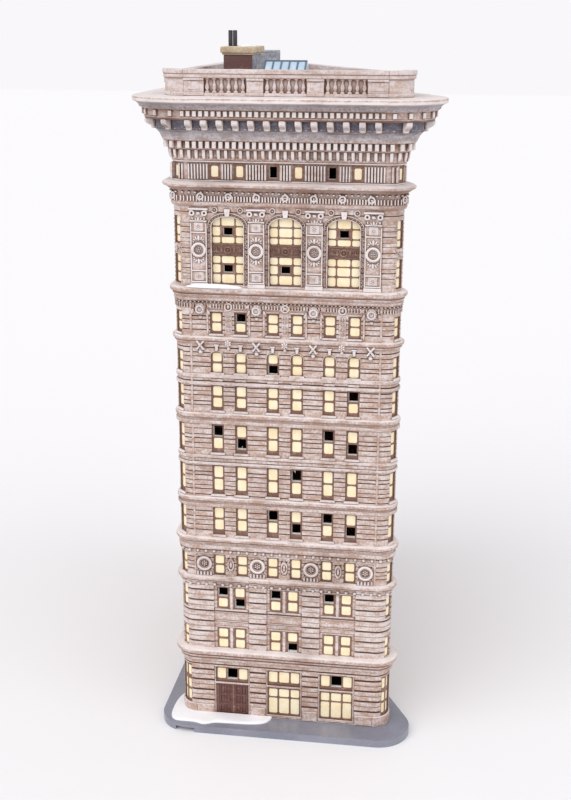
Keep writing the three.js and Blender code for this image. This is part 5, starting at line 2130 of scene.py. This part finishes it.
# ---------------------------------------------------------------- the tower
def storeys() -> list[Storey]:
    """The walls of the tower, from the ground up."""
    return [
        GroundStorey("ground_storey_wall", 4.2, 36.8, (), (), {}, face=0.0),
        LowerStoreys(
            "lower_storeys_wall", 44.3, 83.0,
            (sash(6.6, 44.5, 56.4, 53.1, 47.1, 4.9), sash(6.6, 67.2, 79.8, 76.9, 70.8, 5.0)), (53.1, 76.9),
            {(0, 3): 1, (1, 0): 0, (1, 1): 1, (1, 2): 0, (1, 4): 0}, pair=NARROW_PAIR, face=-0.1,
        ),
        MedallionStorey(
            "medallion_storey_wall", 86.4, 101.8, (sash(6.3, 86.9, 98.5, 95.4, 90.0, 4.6),), (95.4,), {}, course=2.2,
        ),
        Storey(
            "lower_shaft_wall", 108.6, 125.3, (sash(6.3, 109.8, 124.9, 121.6, 115.1, 5.6),), (121.6,),
            {(0, 2): 0, (0, 3): 1, (0, 4): 0, (0, 5): 1},
        ),
        SixthAndSeventh(
            "middle_shaft_wall", 130.8, 170.0,
            (sash(6.3, 132.3, 147.9, 144.1, 137.3, 6.0), sash(6.3, 154.8, 169.8, 166.0, 159.6, 5.6)), (144.1, 166.0),
            {(0, 3): 0, (1, 0): 0, (1, 1): 1, (1, 4): 0, (1, 5): 1},
        ),
        EighthAndNinth(
            "upper_shaft_wall", 175.9, 211.9,
            (sash(6.3, 177.2, 190.3, 187.1, 181.2, 4.9), sash(6.3, 196.9, 207.8, 204.6, 199.2, 4.5)), (187.1, 204.6),
            {(0, 5): 0, (1, 2): 1},
        ),
        FestoonStorey(
            "festoon_storey_wall", 215.4, 233.2, (sash(6.3, 216.7, 227.8, 224.8, 220.0, 4.2),), (224.8,), {(0, 1): 0},
            course=2.3, sink=0.5,
        ),
        ArchStorey("arch_storey_wall", 240.2, 279.3, (), (), {}, course=2.5, sink=0.3),
        Attic(
            "attic_wall", 291.0, 300.7, (Window(5.9, 291.7, 299.8, ((-1.75, 1.75, 293.0, 298.3),)),), (295.7,),
            {(0, 2): 0, (0, 4): 0}, course=30.0, face=-0.4, slot_width=3.8,
        ),
    ]


def ledges() -> list[Ledge]:
    """The ledges between the storeys."""
    beads = Relief().dome(0, 285.9, 1.5, 1.3, 0.8, base=1.4, detail=1)
    for x in (-0.75, 0.75):
        beads.plate(x, 283.0, 0.7, 2.6, 1.9, back=-0.8, soft=0.12)
    ring = Relief().hoop(0, 284.0, 1.4, 0.5, 1.7, steps=14).dome(0, 284.0, 1.3, 1.3, 1.0, base=1.2, detail=1).part()
    double = (
        (0.7, 0.0), (1.2, 0.08), (1.2, 0.34), (0.4, 0.38), (0.3, 0.56), (1.1, 0.6), (1.4, 0.68), (1.4, 0.9),
        (0.8, 0.99),
    )
    return [
        Ledge("first_ledge", 36.8, 44.3, (
            (0.9, 0.0), (1.4, 0.04), (1.4, 0.2), (0.8, 0.23), (0.9, 0.3), (2.1, 0.36), (2.2, 0.48), (1.7, 0.51),
            (2.8, 0.6), (3.6, 0.68), (3.7, 0.9), (2.6, 0.99),
        )),
        Ledge(
            "pale_ledge", 83.0, 86.4, ((1.1, 0.0), (1.3, 0.2), (0.9, 0.26), (2.1, 0.4), (2.2, 0.8), (1.3, 0.99)),
            soft=0.18,
        ),
        Ledge("third_ledge", 101.8, 108.6, (
            (1.1, 0.0), (1.2, 0.3), (0.6, 0.34), (0.7, 0.46), (1.5, 0.52), (1.6, 0.6), (1.2, 0.63), (2.4, 0.7),
            (2.6, 0.9), (1.6, 0.99),
        )),
        Ledge("fourth_ledge", 125.3, 130.8, double, soft=0.18),
        Ledge("fifth_ledge", 170.0, 175.9, double, soft=0.18),
        Ledge(
            "string_course", 211.9, 215.4,
            ((0.8, 0.0), (1.1, 0.22), (0.7, 0.3), (1.9, 0.5), (2.1, 0.84), (1.2, 0.99)), soft=0.18,
        ),
        Ledge("arch_ledge", 233.2, 240.2, (
            (0.7, 0.0), (1.1, 0.1), (1.1, 0.2), (0.6, 0.24), (1.3, 0.36), (1.7, 0.48), (1.2, 0.52), (2.5, 0.62),
            (2.8, 0.68), (2.8, 0.88), (1.6, 0.99),
        )),
        Ledge("attic_ledge", 279.3, 291.0, (
            (0.8, 0.0), (1.4, 0.1), (1.3, 0.18), (0.9, 0.22), (0.9, 0.6), (1.6, 0.64), (2.8, 0.7), (3.6, 0.76),
            (5.2, 0.81), (5.4, 0.9), (4.2, 0.97), (3.4, 0.99),
        ), beads.part(), 2.9, roundel=ring),
    ]


def main() -> None:
    """Builds the tower piece by piece, then the studio."""
    for storey in storeys():
        storey.make()
    for ledge in ledges():
        ledge.make()
    Cornice().make()
    Parapet().make()
    Roof().make()
    Snow().make()
    Fittings().make()
    Studio().make()


if __name__ == "__main__":
    logging.basicConfig(level=logging.INFO, format="%(message)s")
    main()
